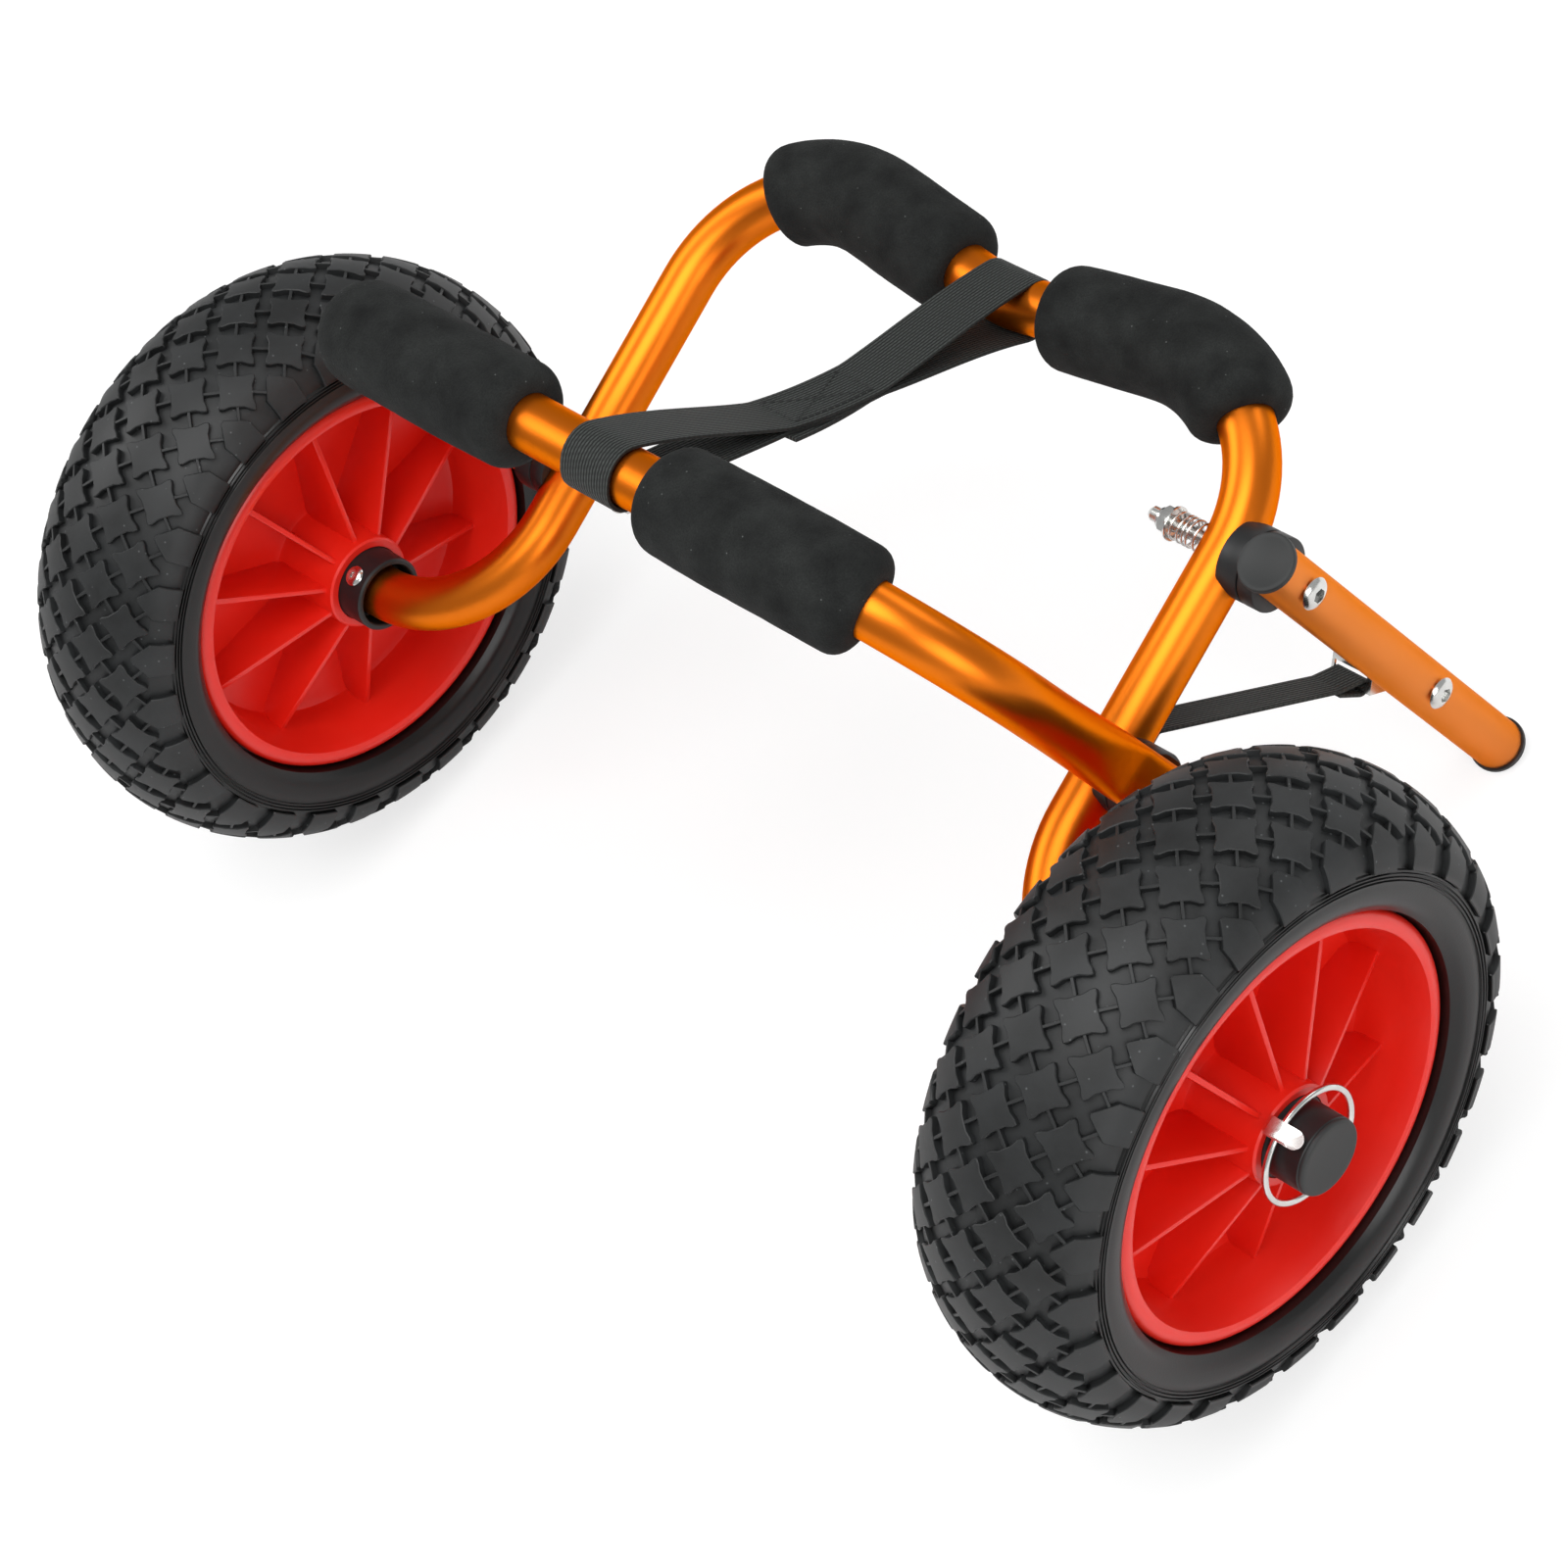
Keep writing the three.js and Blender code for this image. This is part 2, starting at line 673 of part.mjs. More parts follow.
// New stations on the stretch of a path between two distances from its middle.
function stretch(stations, from, to, step) {
  const lengths = pathLengths(stations);
  const middle = lengths[lengths.length - 1] / 2;
  const count = Math.round((to - from) / step);
  return Array.from({ length: count + 1 }, (_, k) => {
    const distance = middle + from + (to - from) * k / count;
    const i = Math.min(lengths.findIndex((length) => length > distance), lengths.length - 1);
    const share = (distance - lengths[i - 1]) / (lengths[i] - lengths[i - 1]);
    return {
      place: stations[i - 1].place.clone().lerp(stations[i].place, share),
      direction: stations[i - 1].direction.clone().lerp(stations[i].direction, share).normalize(),
      distance: distance - middle,
    };
  });
}

// The path's own stations strictly between two distances from its middle.
function ownStations(stations, from, to) {
  const lengths = pathLengths(stations);
  const middle = lengths[lengths.length - 1] / 2;
  return stations.filter((_, i) => lengths[i] - middle > from && lengths[i] - middle < to);
}

// Foam pad: a sleeve with round edges and a slight crown along its length, its bore
// following the tube it is pushed over, station by station.
function foamPad(path, stations) {
  const first = stations[0].distance;
  const length = stations[stations.length - 1].distance - first;
  const bore = ovalOutline(tubeRadius + clearance, tubeRadius + clearance, tubeSides);
  const outer = stations.map((station) => {
    const along = station.distance - first;
    const inset = Math.max(0, padEdgeRadius - Math.min(along, length - along));
    const round = padEdgeRadius - Math.sqrt(padEdgeRadius ** 2 - inset ** 2);
    const crown = padCrown * (2 * along / length - 1) ** 2;
    const radius = padRadius - round - crown;
    return ringAt(station, crossPlane, ovalOutline(radius, radius, tubeSides));
  });
  const within = ownStations(path, first, first + length);
  const boreStations = [stations[0], ...within, stations[stations.length - 1]];
  const inner = boreStations.map((station) => ringAt(station, crossPlane, bore));
  return hollowLoft(outer, inner);
}

// Places along a pad: close together over its round edges, wider over its middle.
function padStations(path, start, length, middleSteps) {
  const edge = padEdgeRadius;
  const edgeStep = edge / padEdgeSteps;
  const stations = stretch(path, start, start + edge, edgeStep);
  const middle = stretch(path, start + edge, start + length - edge, (length - 2 * edge) / middleSteps);
  const end = stretch(path, start + length - edge, start + length, edgeStep);
  return [...stations, ...middle.slice(1), ...end.slice(1)];
}

function frontPath() {
  const x = frontLegHalfSpan;
  const corners = [[-x, -frontLegOverhang], [-x, frontFrameLength], [x, frontFrameLength], [x, -frontLegOverhang]];
  return roundedPath(corners, [frontBendRadius, frontBendRadius]);
}

// Front frame: a U of tube whose leg ends are pressed flat round the pivot bolts.
function frontStations() {
  const path = frontPath();
  const flatten = [frontFlatLength - frontLegOverhang, frontFlatLength - frontLegOverhang + frontFlatTaper];
  const extra = flatten.map((height) => [
    { place: new THREE.Vector2(-frontLegHalfSpan, height), direction: path[0].direction },
    { place: new THREE.Vector2(frontLegHalfSpan, height), direction: path[path.length - 1].direction },
  ]);
  const [low, high] = extra;
  return [path[0], low[0], high[0], ...path.slice(1, -1), high[1], low[1], path[path.length - 1]];
}

function frontSections(grow) {
  const flatEnd = frontFlatLength - frontLegOverhang;
  return frontStations().map((station) => {
    const height = station.place.y;
    const share = THREE.MathUtils.clamp((height - flatEnd) / frontFlatTaper, 0, 1);
    const out = THREE.MathUtils.lerp(frontFlatHalfWidth, tubeRadius, share) + grow;
    const across = THREE.MathUtils.lerp(frontFlatHalfThickness, tubeRadius, share) + grow;
    return ringAt(station, crossPlane, ovalOutline(out, across, tubeSides));
  });
}

function swingFrameTube() {
  const tube = hollowLoft(frontSections(0), frontSections(-tubeWall));
  const half = frontFlatHalfThickness + cutOverrun;
  const holes = sides.map((side) => onSide(
    rodX(boltRadius + clearance, frontLegHalfSpan - half, frontLegHalfSpan + half), side));
  return cut(tube, ...holes);
}

// The seam where the two saddle halves of a frame pivot meet.
const legOuter = rearLegHalfSpan + tubeRadius;
const flatInner = frontLegHalfSpan - frontFlatHalfThickness;
const frontInner = frontLegHalfSpan - tubeRadius;
const pivotSeam = (legOuter + frontInner) / 2;
const standInner = standOffset - standRadius;
const standSeam = standInner - standSeamGap;

function roundDisc(radius, from, to) {
  return cut(rodX(radius, from, to, lathSteps), rodX(boltRadius + clearance, from - cutOverrun, to + cutOverrun));
}

// The half saddle fixed on the rear leg, hollowed to the leg's tube.
function legSaddle(radius, seam) {
  const from = rearLegHalfSpan + saddleWrap;
  const reach = radius + cutOverrun;
  const leg = rodZ(tubeRadius + clearance, -reach, reach, lathSteps).translate(rearLegHalfSpan, 0, 0);
  return cut(roundDisc(radius, from, seam - clearance / 2), leg);
}

// The half saddle that turns with the front leg, hollowed to its flattened end.
function frontSaddle() {
  const body = roundDisc(saddleRadius, pivotSeam + clearance / 2, frontLegHalfSpan - saddleWrap / 2);
  const ovals = frontSections(2 * clearance);
  const legRings = ovals.slice(ovals.length - 3);
  return cut(body, loft(legRings));
}

function standSaddle() {
  const body = roundDisc(standSaddleRadius, standSeam + clearance / 2, standOffset - saddleWrap);
  const reach = standSaddleRadius + cutOverrun;
  return cut(body, rodZ(standRadius + clearance, -reach, reach, lathSteps).translate(standOffset, 0, 0));
}

// Button-head bolt along X with its head to the outside and a hex socket in it.
function buttonBolt(seat, tip) {
  const head = seat + boltHeadHeight;
  const body = revolveX([
    [tip, 0], [tip, boltRadius - boltTipChamfer], [tip + boltTipChamfer, boltRadius], [seat, boltRadius],
    [seat, boltHeadRadius], [head - boltHeadEdge, boltHeadRadius], [head, boltHeadRadius - boltHeadEdge],
    [head, 0],
  ], smallSteps);
  return cut(body, rodX(boltSocketRadius, head - boltSocketDepth, head + cutOverrun, 6));
}

// Self-locking nut: a hexagon with a round collar towards the bolt's tip.
function lockNut(face) {
  const corner = nutFlatRadius / Math.cos(Math.PI / 6);
  const hexagon = rodX(corner, face - nutHeight, face, 6);
  const collar = rodX(nutCollarRadius, face - nutHeight - nutCollarHeight, face - nutHeight / 2);
  const bore = rodX(boltRadius + clearance, face - nutHeight - nutCollarHeight - cutOverrun, face + cutOverrun);
  return cut(join(hexagon, collar), bore);
}

function washer(face) {
  const inner = boltRadius + clearance;
  return revolveX([
    [face - washerThickness, inner], [face - washerThickness, washerRadius],
    [face, washerRadius], [face, inner], [face - washerThickness, inner],
  ], capSteps);
}

// Compression spring along X as one unbroken wire, its ends cut square.
function springRings(from, to) {
  const steps = Math.round(springCoils * springStepsPerCoil);
  const slope = (to - from - 2 * springWireRadius) / steps;
  const start = from + springWireRadius;
  const pitchAngle = Math.atan2(slope * springStepsPerCoil, 2 * Math.PI * springRadius);
  return Array.from({ length: steps + 1 }, (_, k) => {
    const angle = 2 * Math.PI * k / springStepsPerCoil;
    const radial = new THREE.Vector3(0, Math.sin(angle), Math.cos(angle));
    const round = new THREE.Vector3(0, Math.cos(angle), -Math.sin(angle));
    const upright = X.clone().multiplyScalar(Math.cos(pitchAngle)).addScaledVector(round, -Math.sin(pitchAngle));
    const centre = radial.clone().multiplyScalar(springRadius).addScaledVector(X, start + slope * k);
    return ovalOutline(springWireRadius, springWireRadius, springSides).map(([out, side]) =>
      centre.clone().addScaledVector(radial, out).addScaledVector(upright, side));
  });
}

function springGap(rings) {
  let least = Infinity;
  for (let i = 0; i < rings.length; i += 1) {
    for (let k = i + springStepsPerCoil / 2; k < rings.length; k += 1) {
      for (const a of rings[i]) {
        for (const b of rings[k]) least = Math.min(least, a.distanceTo(b));
      }
    }
  }
  return least;
}

const nutFace = boltTipX + nutTipDistance + nutHeight + nutCollarHeight - clearance;
const washerFace = nutFace + clearance + washerThickness;
const springFrom = washerFace + clearance;
const springTo = rearLegHalfSpan - tubeRadius - clearance;

// The stack on the inner side of a leg: spring, washer and nut on the pivot bolt.
function pivotStack(prefix, suffix, side, height, headSeat) {
  const coils = springRings(springFrom, springTo);
  console.log(`${prefix}_spring${suffix}: least gap between coils ${springGap(coils).toFixed(2)} mm`);
  const turn = side.sign < 0 ? Math.PI : 0;
  const parts = [
    piece(`${prefix}_spring${suffix}`, loft(coils).rotateZ(turn), zincSteel),
    piece(`${prefix}_washer${suffix}`, onSide(washer(washerFace), side), zincSteel),
    piece(`${prefix}_nut${suffix}`, onSide(lockNut(nutFace), side), zincSteel),
    piece(`${prefix}_bolt${suffix}`, onSide(buttonBolt(headSeat, boltTipX), side), zincSteel),
  ];
  parts.forEach((part) => part.position.set(0, 0, height));
  return parts;
}

// An outline in the side plane, drawn as [back, up] pairs, given its width along X.
function acrossBody(outline, width) {
  const body = new THREE.ExtrudeGeometry(outline, { depth: width, bevelEnabled: false });
  body.translate(0, 0, -width / 2);
  return body.applyMatrix4(new THREE.Matrix4().makeBasis(Y, Z, X));
}

// Points of an arc drawn so that its flats, not its corners, keep the radius.
function arcPoints(centre, radius, from, to, steps) {
  const corner = radius / Math.cos((to - from) / steps / 2);
  return Array.from({ length: steps + 1 }, (_, k) => {
    const angle = from + (to - from) * k / steps;
    return new THREE.Vector2(centre + corner * Math.cos(angle), corner * Math.sin(angle));
  });
}

// Centre strap: one loop of webbing round both crossbars, sewn together over its middle.
// Its outline is drawn along the line between the bars, then turned and sheared to place.
function centreStrap() {
  const rear = new THREE.Vector2(0, rearFrameHeight - rearBarDip);
  const front = new THREE.Vector2(-frontFrameLength * Math.sin(openingAngle),
    pivotHeight + frontFrameLength * Math.cos(openingAngle));
  const span = rear.distanceTo(front);
  const slope = rearBarDip / rearLegHalfSpan;
  const rearRise = slope * (strapWidth / 2 + strapRearShift);
  const frontBore = tubeRadius + clearance;
  const rearBore = tubeRadius + clearance + rearRise;
  const seam = [(span - strapSeamLength) / 2, (span + strapSeamLength) / 2];
  const rearLean = Math.PI / 2 - Math.asin(rearBore / (span - seam[1]));
  const frontOpen = Math.PI / 2 - Math.asin(frontBore / seam[0]);
  const t = strapThickness;
  const outline = new THREE.Shape([
    ...arcPoints(0, frontBore + t, Math.PI / 2, 3 * Math.PI / 2, loopSteps),
    new THREE.Vector2(seam[0], -t), new THREE.Vector2(seam[1], -t),
    ...arcPoints(span, rearBore + t, Math.PI + rearLean, 3 * Math.PI - rearLean, loopSteps),
    new THREE.Vector2(seam[1], t), new THREE.Vector2(seam[0], t),
  ]);
  outline.holes.push(new THREE.Path([
    ...arcPoints(0, frontBore, frontOpen, 2 * Math.PI - frontOpen, loopSteps),
    new THREE.Vector2(seam[0] - t, 0),
  ]));
  outline.holes.push(new THREE.Path([
    ...arcPoints(span, rearBore, Math.PI + rearLean, 3 * Math.PI - rearLean, loopSteps),
    new THREE.Vector2(seam[1] + t, 0),
  ]));
  const strap = acrossBody(outline, strapWidth);
  const shift = new THREE.Matrix4().makeShear(0, 0, (strapRearShift - strapFrontShift) / span, 0, 0, 0);
  strap.applyMatrix4(shift);
  strap.translate(strapFrontShift, 0, 0);
  strap.rotateX(Math.atan2(rear.y - front.y, rear.x - front.x));
  return strap.translate(0, front.x, front.y);
}

// Places on the stand bracket, as [back, up] from the rear frame's foot.
const standAxis = new THREE.Vector2(Math.sin(standAngle), -Math.cos(standAngle));
const bracketEye = new THREE.Vector2(0, standPivotHeight).addScaledVector(standAxis, standBoltDistance);
const bracketOut = new THREE.Vector2(-Math.cos(bracketAngle), -Math.sin(bracketAngle));
const bracketUp = new THREE.Vector2(-bracketOut.y, bracketOut.x);
const bracketFace = standInner - clearance;

// Stamped bracket: an eye under the stand's second bolt and a slotted shelf for the stay strap.
function strapBracket() {
  const eye = new THREE.Shape();
  const half = bracketShelfHeight / 2;
  eye.absarc(0, 0, bracketEyeRadius, Math.PI / 2, 3 * Math.PI / 2, false);
  eye.lineTo(bracketReach, -half);
  eye.lineTo(bracketReach, half);
  eye.closePath();
  const plate = acrossBody(eye, bracketThickness).translate(bracketFace - bracketThickness / 2, 0, 0);
  const shelf = new THREE.BoxGeometry(bracketShelfDepth, bracketThickness, bracketShelfHeight);
  const middle = bracketFace - bracketShelfDepth / 2;
  shelf.translate(middle, bracketReach - bracketThickness / 2, 0);
  const slotLength = bracketShelfDepth - bracketThickness - 2 * bracketSlotMargin;
  const slot = new THREE.BoxGeometry(slotLength, bracketThickness + 2 * cutOverrun, bracketSlotHeight);
  slot.translate(middle - bracketThickness / 2, bracketReach - bracketThickness / 2, 0);
  const boltHole = rodX(boltRadius + clearance, bracketFace - bracketThickness - cutOverrun,
    bracketFace + cutOverrun);
  const body = cut(join(plate, shelf), slot, boltHole);
  return body.rotateX(Math.atan2(bracketOut.y, bracketOut.x)).translate(0, bracketEye.x, bracketEye.y);
}

const stayLegX = rearLegHalfSpan - stayLegShift;

// Stay strap: from a rivet on the back of the leg, through the bracket's slot and folded back.
function stayStrap() {
  const t = stayThickness;
  const back = tubeRadius + clearance + t / 2;
  const barReach = bracketReach - bracketThickness / 2;
  const at = (out, up) => bracketEye.clone().addScaledVector(bracketOut, out).addScaledVector(bracketUp, up);
  const barHalf = (bracketShelfHeight - bracketSlotHeight) / 4;
  const barMiddle = bracketSlotHeight / 2 + barHalf;
  const near = barMiddle - barHalf - clearance - t / 2;
  const far = barMiddle + barHalf + clearance + t / 2;
  const bar = bracketThickness / 2 + clearance + t / 2;
  const corners = [
    new THREE.Vector2(back, stayRivetHeight - stayEndLength),
    new THREE.Vector2(back, stayLiftHeight),
    at(barReach + stayFoldLength, near),
    at(barReach - bar, near),
    at(barReach - bar, far),
    at(barReach + bar, far),
    at(barReach + stayFoldLength, near + t + clearance),
  ].map((point) => [point.x, point.y]);
  const turn = stayTurnRadius;
  const stations = roundedPath(corners, [turn, turn, turn, turn, turn], 3);
  const first = stations[0].place;
  const total = at(barReach + stayFoldLength, near).x - first.x;
  const shelfMiddle = bracketFace - (bracketShelfDepth + bracketThickness) / 2;
  const rings = stations.map((station) => {
    const share = THREE.MathUtils.clamp((station.place.x - first.x) / total, 0, 1);
    const middle = THREE.MathUtils.lerp(stayLegX, shelfMiddle, share);
    const half = stayWidth / 2;
    return ringAt(station, sidePlane, [[-half, -t / 2], [half, -t / 2], [half, t / 2], [-half, t / 2]], middle);
  });
  const rivetEye = rodY(rivetShankRadius + clearance, 0, back + t + cutOverrun);
  return cut(loft(rings), rivetEye.translate(stayLegX, 0, stayRivetHeight));
}

function stayRivet() {
  const seat = tubeRadius + stayThickness + 2 * clearance;
  const tip = tubeRadius - tubeWall - clearance;
  const rivet = revolveZ([
    [tip, 0], [tip, rivetShankRadius], [seat, rivetShankRadius], [seat, rivetHeadRadius],
    [seat + rivetHeadHeight / 2, rivetHeadRadius * rivetShoulderShare],
    [seat + rivetHeadHeight, rivetHeadRadius * rivetTopShare],
    [seat + rivetHeadHeight, 0],
  ], smallSteps);
  return rivet.rotateX(-Math.PI / 2).translate(stayLegX, 0, stayRivetHeight);
}

// Stand: straight tube with a pressed-in cap at each end; local -Z runs to the foot.
function standTube() {
  const foot = -(standLength - standCapThickness - clearance);
  const top = standTopOverhang - standCapThickness - clearance;
  const inner = standRadius - tubeWall;
  const loop = [[foot, inner], [foot, standRadius], [top, standRadius], [top, inner], [foot, inner]];
  const reach = standRadius + cutOverrun;
  const hole = rodX(boltRadius + clearance, -reach, reach);
  return cut(revolveZ(loop, lathSteps), hole, hole.clone().translate(0, 0, -standBoltDistance));
}

function standCap() {
  const plug = standRadius - tubeWall - clearance;
  return revolveZ([
    [-standPlugDepth, 0], [-standPlugDepth, plug], [0, plug], [0, standCapRadius],
    [standCapThickness - standCapEdge, standCapRadius],
    [standCapThickness, standCapRadius - standCapEdge], [standCapThickness, 0],
  ], capSteps);
}

function footCap() {
  const plug = standRadius - tubeWall - clearance;
  return revolveZ([
    [-standPlugDepth, 0], [-standPlugDepth, plug], [0, plug], [0, standCapRadius],
    [standCapThickness, standCapRadius], [standCapThickness, 0],
  ], capSteps);
}

function standGroup() {
  const group = new THREE.Group();
  group.position.set(0, 0, standPivotHeight);
  group.rotation.x = standAngle;
  const tube = piece('kickstand_tube', standTube(), standAnodised);
  tube.position.set(standOffset, 0, 0);
  const topCap = piece('kickstand_top_cap', standCap(), blackPlastic);
  topCap.position.set(standOffset, 0, standTopOverhang - standCapThickness);
  const foot = piece('kickstand_foot_cap', footCap().rotateX(Math.PI), blackPlastic);
  foot.position.set(standOffset, 0, standCapThickness - standLength);
  const bolt = buttonBolt(standOffset + standRadius + clearance, boltTipForBracket());
  const bracketBolt = piece('bracket_bolt', bolt, zincSteel);
  bracketBolt.position.set(0, 0, -standBoltDistance);
  const nut = lockNut(bracketFace - bracketThickness - clearance);
  const bracketNut = piece('bracket_nut', nut, zincSteel);
  bracketNut.position.set(0, 0, -standBoltDistance);
  group.add(tube, topCap, foot, bracketBolt, bracketNut);
  group.add(piece('stand_tube_saddle', standSaddle(), blackPlastic));
  return group;
}

function boltTipForBracket() {
  return bracketFace - bracketThickness - nutHeight - nutCollarHeight - clearance - boltTipChamfer;
}

function frontGroup() {
  const group = new THREE.Group();
  group.position.set(0, 0, pivotHeight);
  group.rotation.x = openingAngle;
  group.add(piece('swing_frame_tube', swingFrameTube(), orangeAnodised));
  const path = frontPath();
  for (const side of sides) {
    const stations = padStations(path, frontPadStart, frontPadLength, 2);
    group.add(piece(`front_pad_${side.name}`, onSide(foamPad(path, stations), side), foam));
    group.add(piece(`pivot_frame_saddle_${side.name}`, onSide(frontSaddle(), side), blackPlastic));
  }
  return group;
}

// How far the rear frame leans back with both wheels and the stand's foot on the floor.
function standingLean() {
  const sin = Math.sin(standAngle);
  const cos = Math.cos(standAngle);
  const back = standLength * sin - standCapRadius * cos;
  const up = standPivotHeight - standLength * cos - standCapRadius * sin;
  return Math.atan2(up, back) + Math.asin(tyreRadius / Math.hypot(up, back));
}

function rearGroup() {
  const group = new THREE.Group();
  group.rotation.x = -standingLean();
  group.add(piece('axle_frame_tube', axleFrameTube(), orangeAnodised));
  const path = rearPath();
  for (const side of sides) {
    const pad = foamPad(path, padStations(path, rearPadStart, rearPadLength, 6));
    group.add(piece(`rear_pad_${side.name}`, onSide(pad, side), foam));
    group.add(piece(`axle_sleeve_${side.name}`, onSide(axleSleeve(), side), blackPlastic));
    group.add(piece(`sleeve_cap_${side.name}`, onSide(sleeveCap(), side), blackPlastic));
    group.add(piece(`sleeve_rivet_${side.name}`, onSide(sleeveRivet(), side), zincSteel));
    group.add(piece(`lock_pin_${side.name}`, onSide(lockPin(), side), zincSteel));
    group.add(piece(`pin_ring_${side.name}`, onSide(pinRing(), side), zincSteel));
    const saddle = piece(`pivot_leg_saddle_${side.name}`, onSide(legSaddle(saddleRadius, pivotSeam), side),
      blackPlastic);
    saddle.position.set(0, 0, pivotHeight);
    const headSeat = frontLegHalfSpan + frontFlatHalfThickness + clearance;
    group.add(saddle, ...pivotStack('pivot', `_${side.name}`, side, pivotHeight, headSeat));
  }
  const saddle = piece('stand_leg_saddle', legSaddle(standSaddleRadius, standSeam), blackPlastic);
  saddle.position.set(0, 0, standPivotHeight);
  const headSeat = standOffset + standRadius + clearance;
  group.add(saddle, ...pivotStack('stand', '', sides[1], standPivotHeight, headSeat));
  group.add(piece('centre_strap', centreStrap(), webbing));
  group.add(piece('strap_bracket', strapBracket(), zincSteel));
  group.add(piece('stay_strap', stayStrap(), webbing));
  group.add(piece('stay_rivet', stayRivet(), zincSteel));
  group.add(frontGroup(), standGroup());
  return group;
}

const cart = new THREE.Group();
cart.position.set(0, 0, tyreRadius);
cart.add(rearGroup(), ...sides.map((side) => wheelSet(side)));

// The floor stays at the tyres' lowest flats, and the footprint is centred on the origin.
cart.updateMatrixWorld(true);
const extent = new THREE.Box3().setFromObject(cart, true);
cart.position.y -= (extent.min.y + extent.max.y) / 2;

export default cart;
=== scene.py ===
"""Folding kayak cart: two hinged tube frames, foam hull pads, ribbed wheels and a swing-out stand.

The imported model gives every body, joint and node. This script dresses them: each sub-assembly is a
class that shapes its pieces in millimetres, seats them on the frame and hands them to their body.
"""
import json
import logging
import math
from contextlib import contextmanager
from dataclasses import dataclass, field
from enum import Enum
from typing import Callable, Iterator, Sequence

import bpy
from mathutils import Matrix, Vector


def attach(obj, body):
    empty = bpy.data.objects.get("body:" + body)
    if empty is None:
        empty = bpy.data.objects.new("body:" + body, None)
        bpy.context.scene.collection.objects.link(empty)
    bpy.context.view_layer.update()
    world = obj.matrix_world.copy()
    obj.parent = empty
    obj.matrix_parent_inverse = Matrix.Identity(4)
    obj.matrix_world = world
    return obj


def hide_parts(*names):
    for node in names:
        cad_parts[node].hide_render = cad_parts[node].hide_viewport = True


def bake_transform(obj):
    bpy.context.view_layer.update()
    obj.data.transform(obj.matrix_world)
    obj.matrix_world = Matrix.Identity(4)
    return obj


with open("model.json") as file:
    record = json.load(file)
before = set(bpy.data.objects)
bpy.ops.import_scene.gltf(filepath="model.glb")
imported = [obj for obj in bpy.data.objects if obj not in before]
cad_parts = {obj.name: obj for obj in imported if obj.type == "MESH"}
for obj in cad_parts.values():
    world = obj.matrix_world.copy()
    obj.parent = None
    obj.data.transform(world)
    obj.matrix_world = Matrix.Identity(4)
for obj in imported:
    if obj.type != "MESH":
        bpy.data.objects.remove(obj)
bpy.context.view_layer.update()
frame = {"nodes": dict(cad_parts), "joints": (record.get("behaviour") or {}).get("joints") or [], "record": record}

log = logging.getLogger("kayak_cart")

MM = 0.001
QUARTER = math.pi / 2
SMOOTH_ANGLE = math.radians(38)
ROUNDED_DEGREES = 40.0
CORNER_DEGREES = 60.0
Span = tuple[float, float]
Spot = tuple[float, float, float]
UNIT: Span = (0.0, 1.0)
Profile = Sequence[Span]
Route = Callable[[Vector], Vector]
Socket = bpy.types.NodeSocket
Piece = bpy.types.Object


class Ends(Enum):
    """How a turned piece closes at its two ends."""

    CAPPED = "capped"
    OPEN = "open"
    RING = "ring"


class Side(Enum):
    """The two sides of the cart, by their sign along X."""

    LEFT = -1
    RIGHT = 1

    @property
    def word(self) -> str:
        """The side's name as the CAD nodes write it."""
        return self.name.lower()


class Slot(Enum):
    """The record's material slots."""

    ORANGE = "orange_anodised"
    STAND = "stand_anodised"
    PLASTIC = "black_plastic"
    FOAM = "foam"
    WEBBING = "webbing"
    RUBBER = "tyre_rubber"
    RED = "red_plastic"
    ZINC = "zinc_steel"


class Mapping(Enum):
    """Where a finish takes its places from: the piece's own axes, or its UV map."""

    OBJECT = ("ShaderNodeTexCoord", "Object")
    UV = ("ShaderNodeUVMap", "UV")


class Cut(Enum):
    """How a tool's shape acts on a piece."""

    AWAY = "DIFFERENCE"
    JOIN = "UNION"
    WITHIN = "INTERSECT"


def linear(code: str) -> tuple[float, float, float, float]:
    """Turns an sRGB hex colour to linear light.

    Args:
        code: six hex digits.

    Returns:
        Red, green, blue and an alpha of one.
    """
    parts = [int(code[i:i + 2], 16) / 255 for i in (0, 2, 4)]
    red, green, blue = (p / 12.92 if p <= 0.04045 else ((p + 0.055) / 1.055) ** 2.4 for p in parts)
    return red, green, blue, 1.0


def add_node(tree: bpy.types.NodeTree, kind: str, inputs: dict | None = None,
             **settings: object) -> bpy.types.Node:
    """Adds a node with its settings, values and links.

    Args:
        tree: the node tree that gets it.
        kind: the node's type.
        inputs: a value or an output socket for each input, by the input's name or number.
        settings: attributes of the node.

    Returns:
        The new node.
    """
    node = tree.nodes.new(kind)
    for name, value in settings.items():
        setattr(node, name, value)
    for name, value in (inputs or {}).items():
        if isinstance(value, Socket):
            tree.links.new(value, node.inputs[name])
        else:
            node.inputs[name].default_value = value
    return node


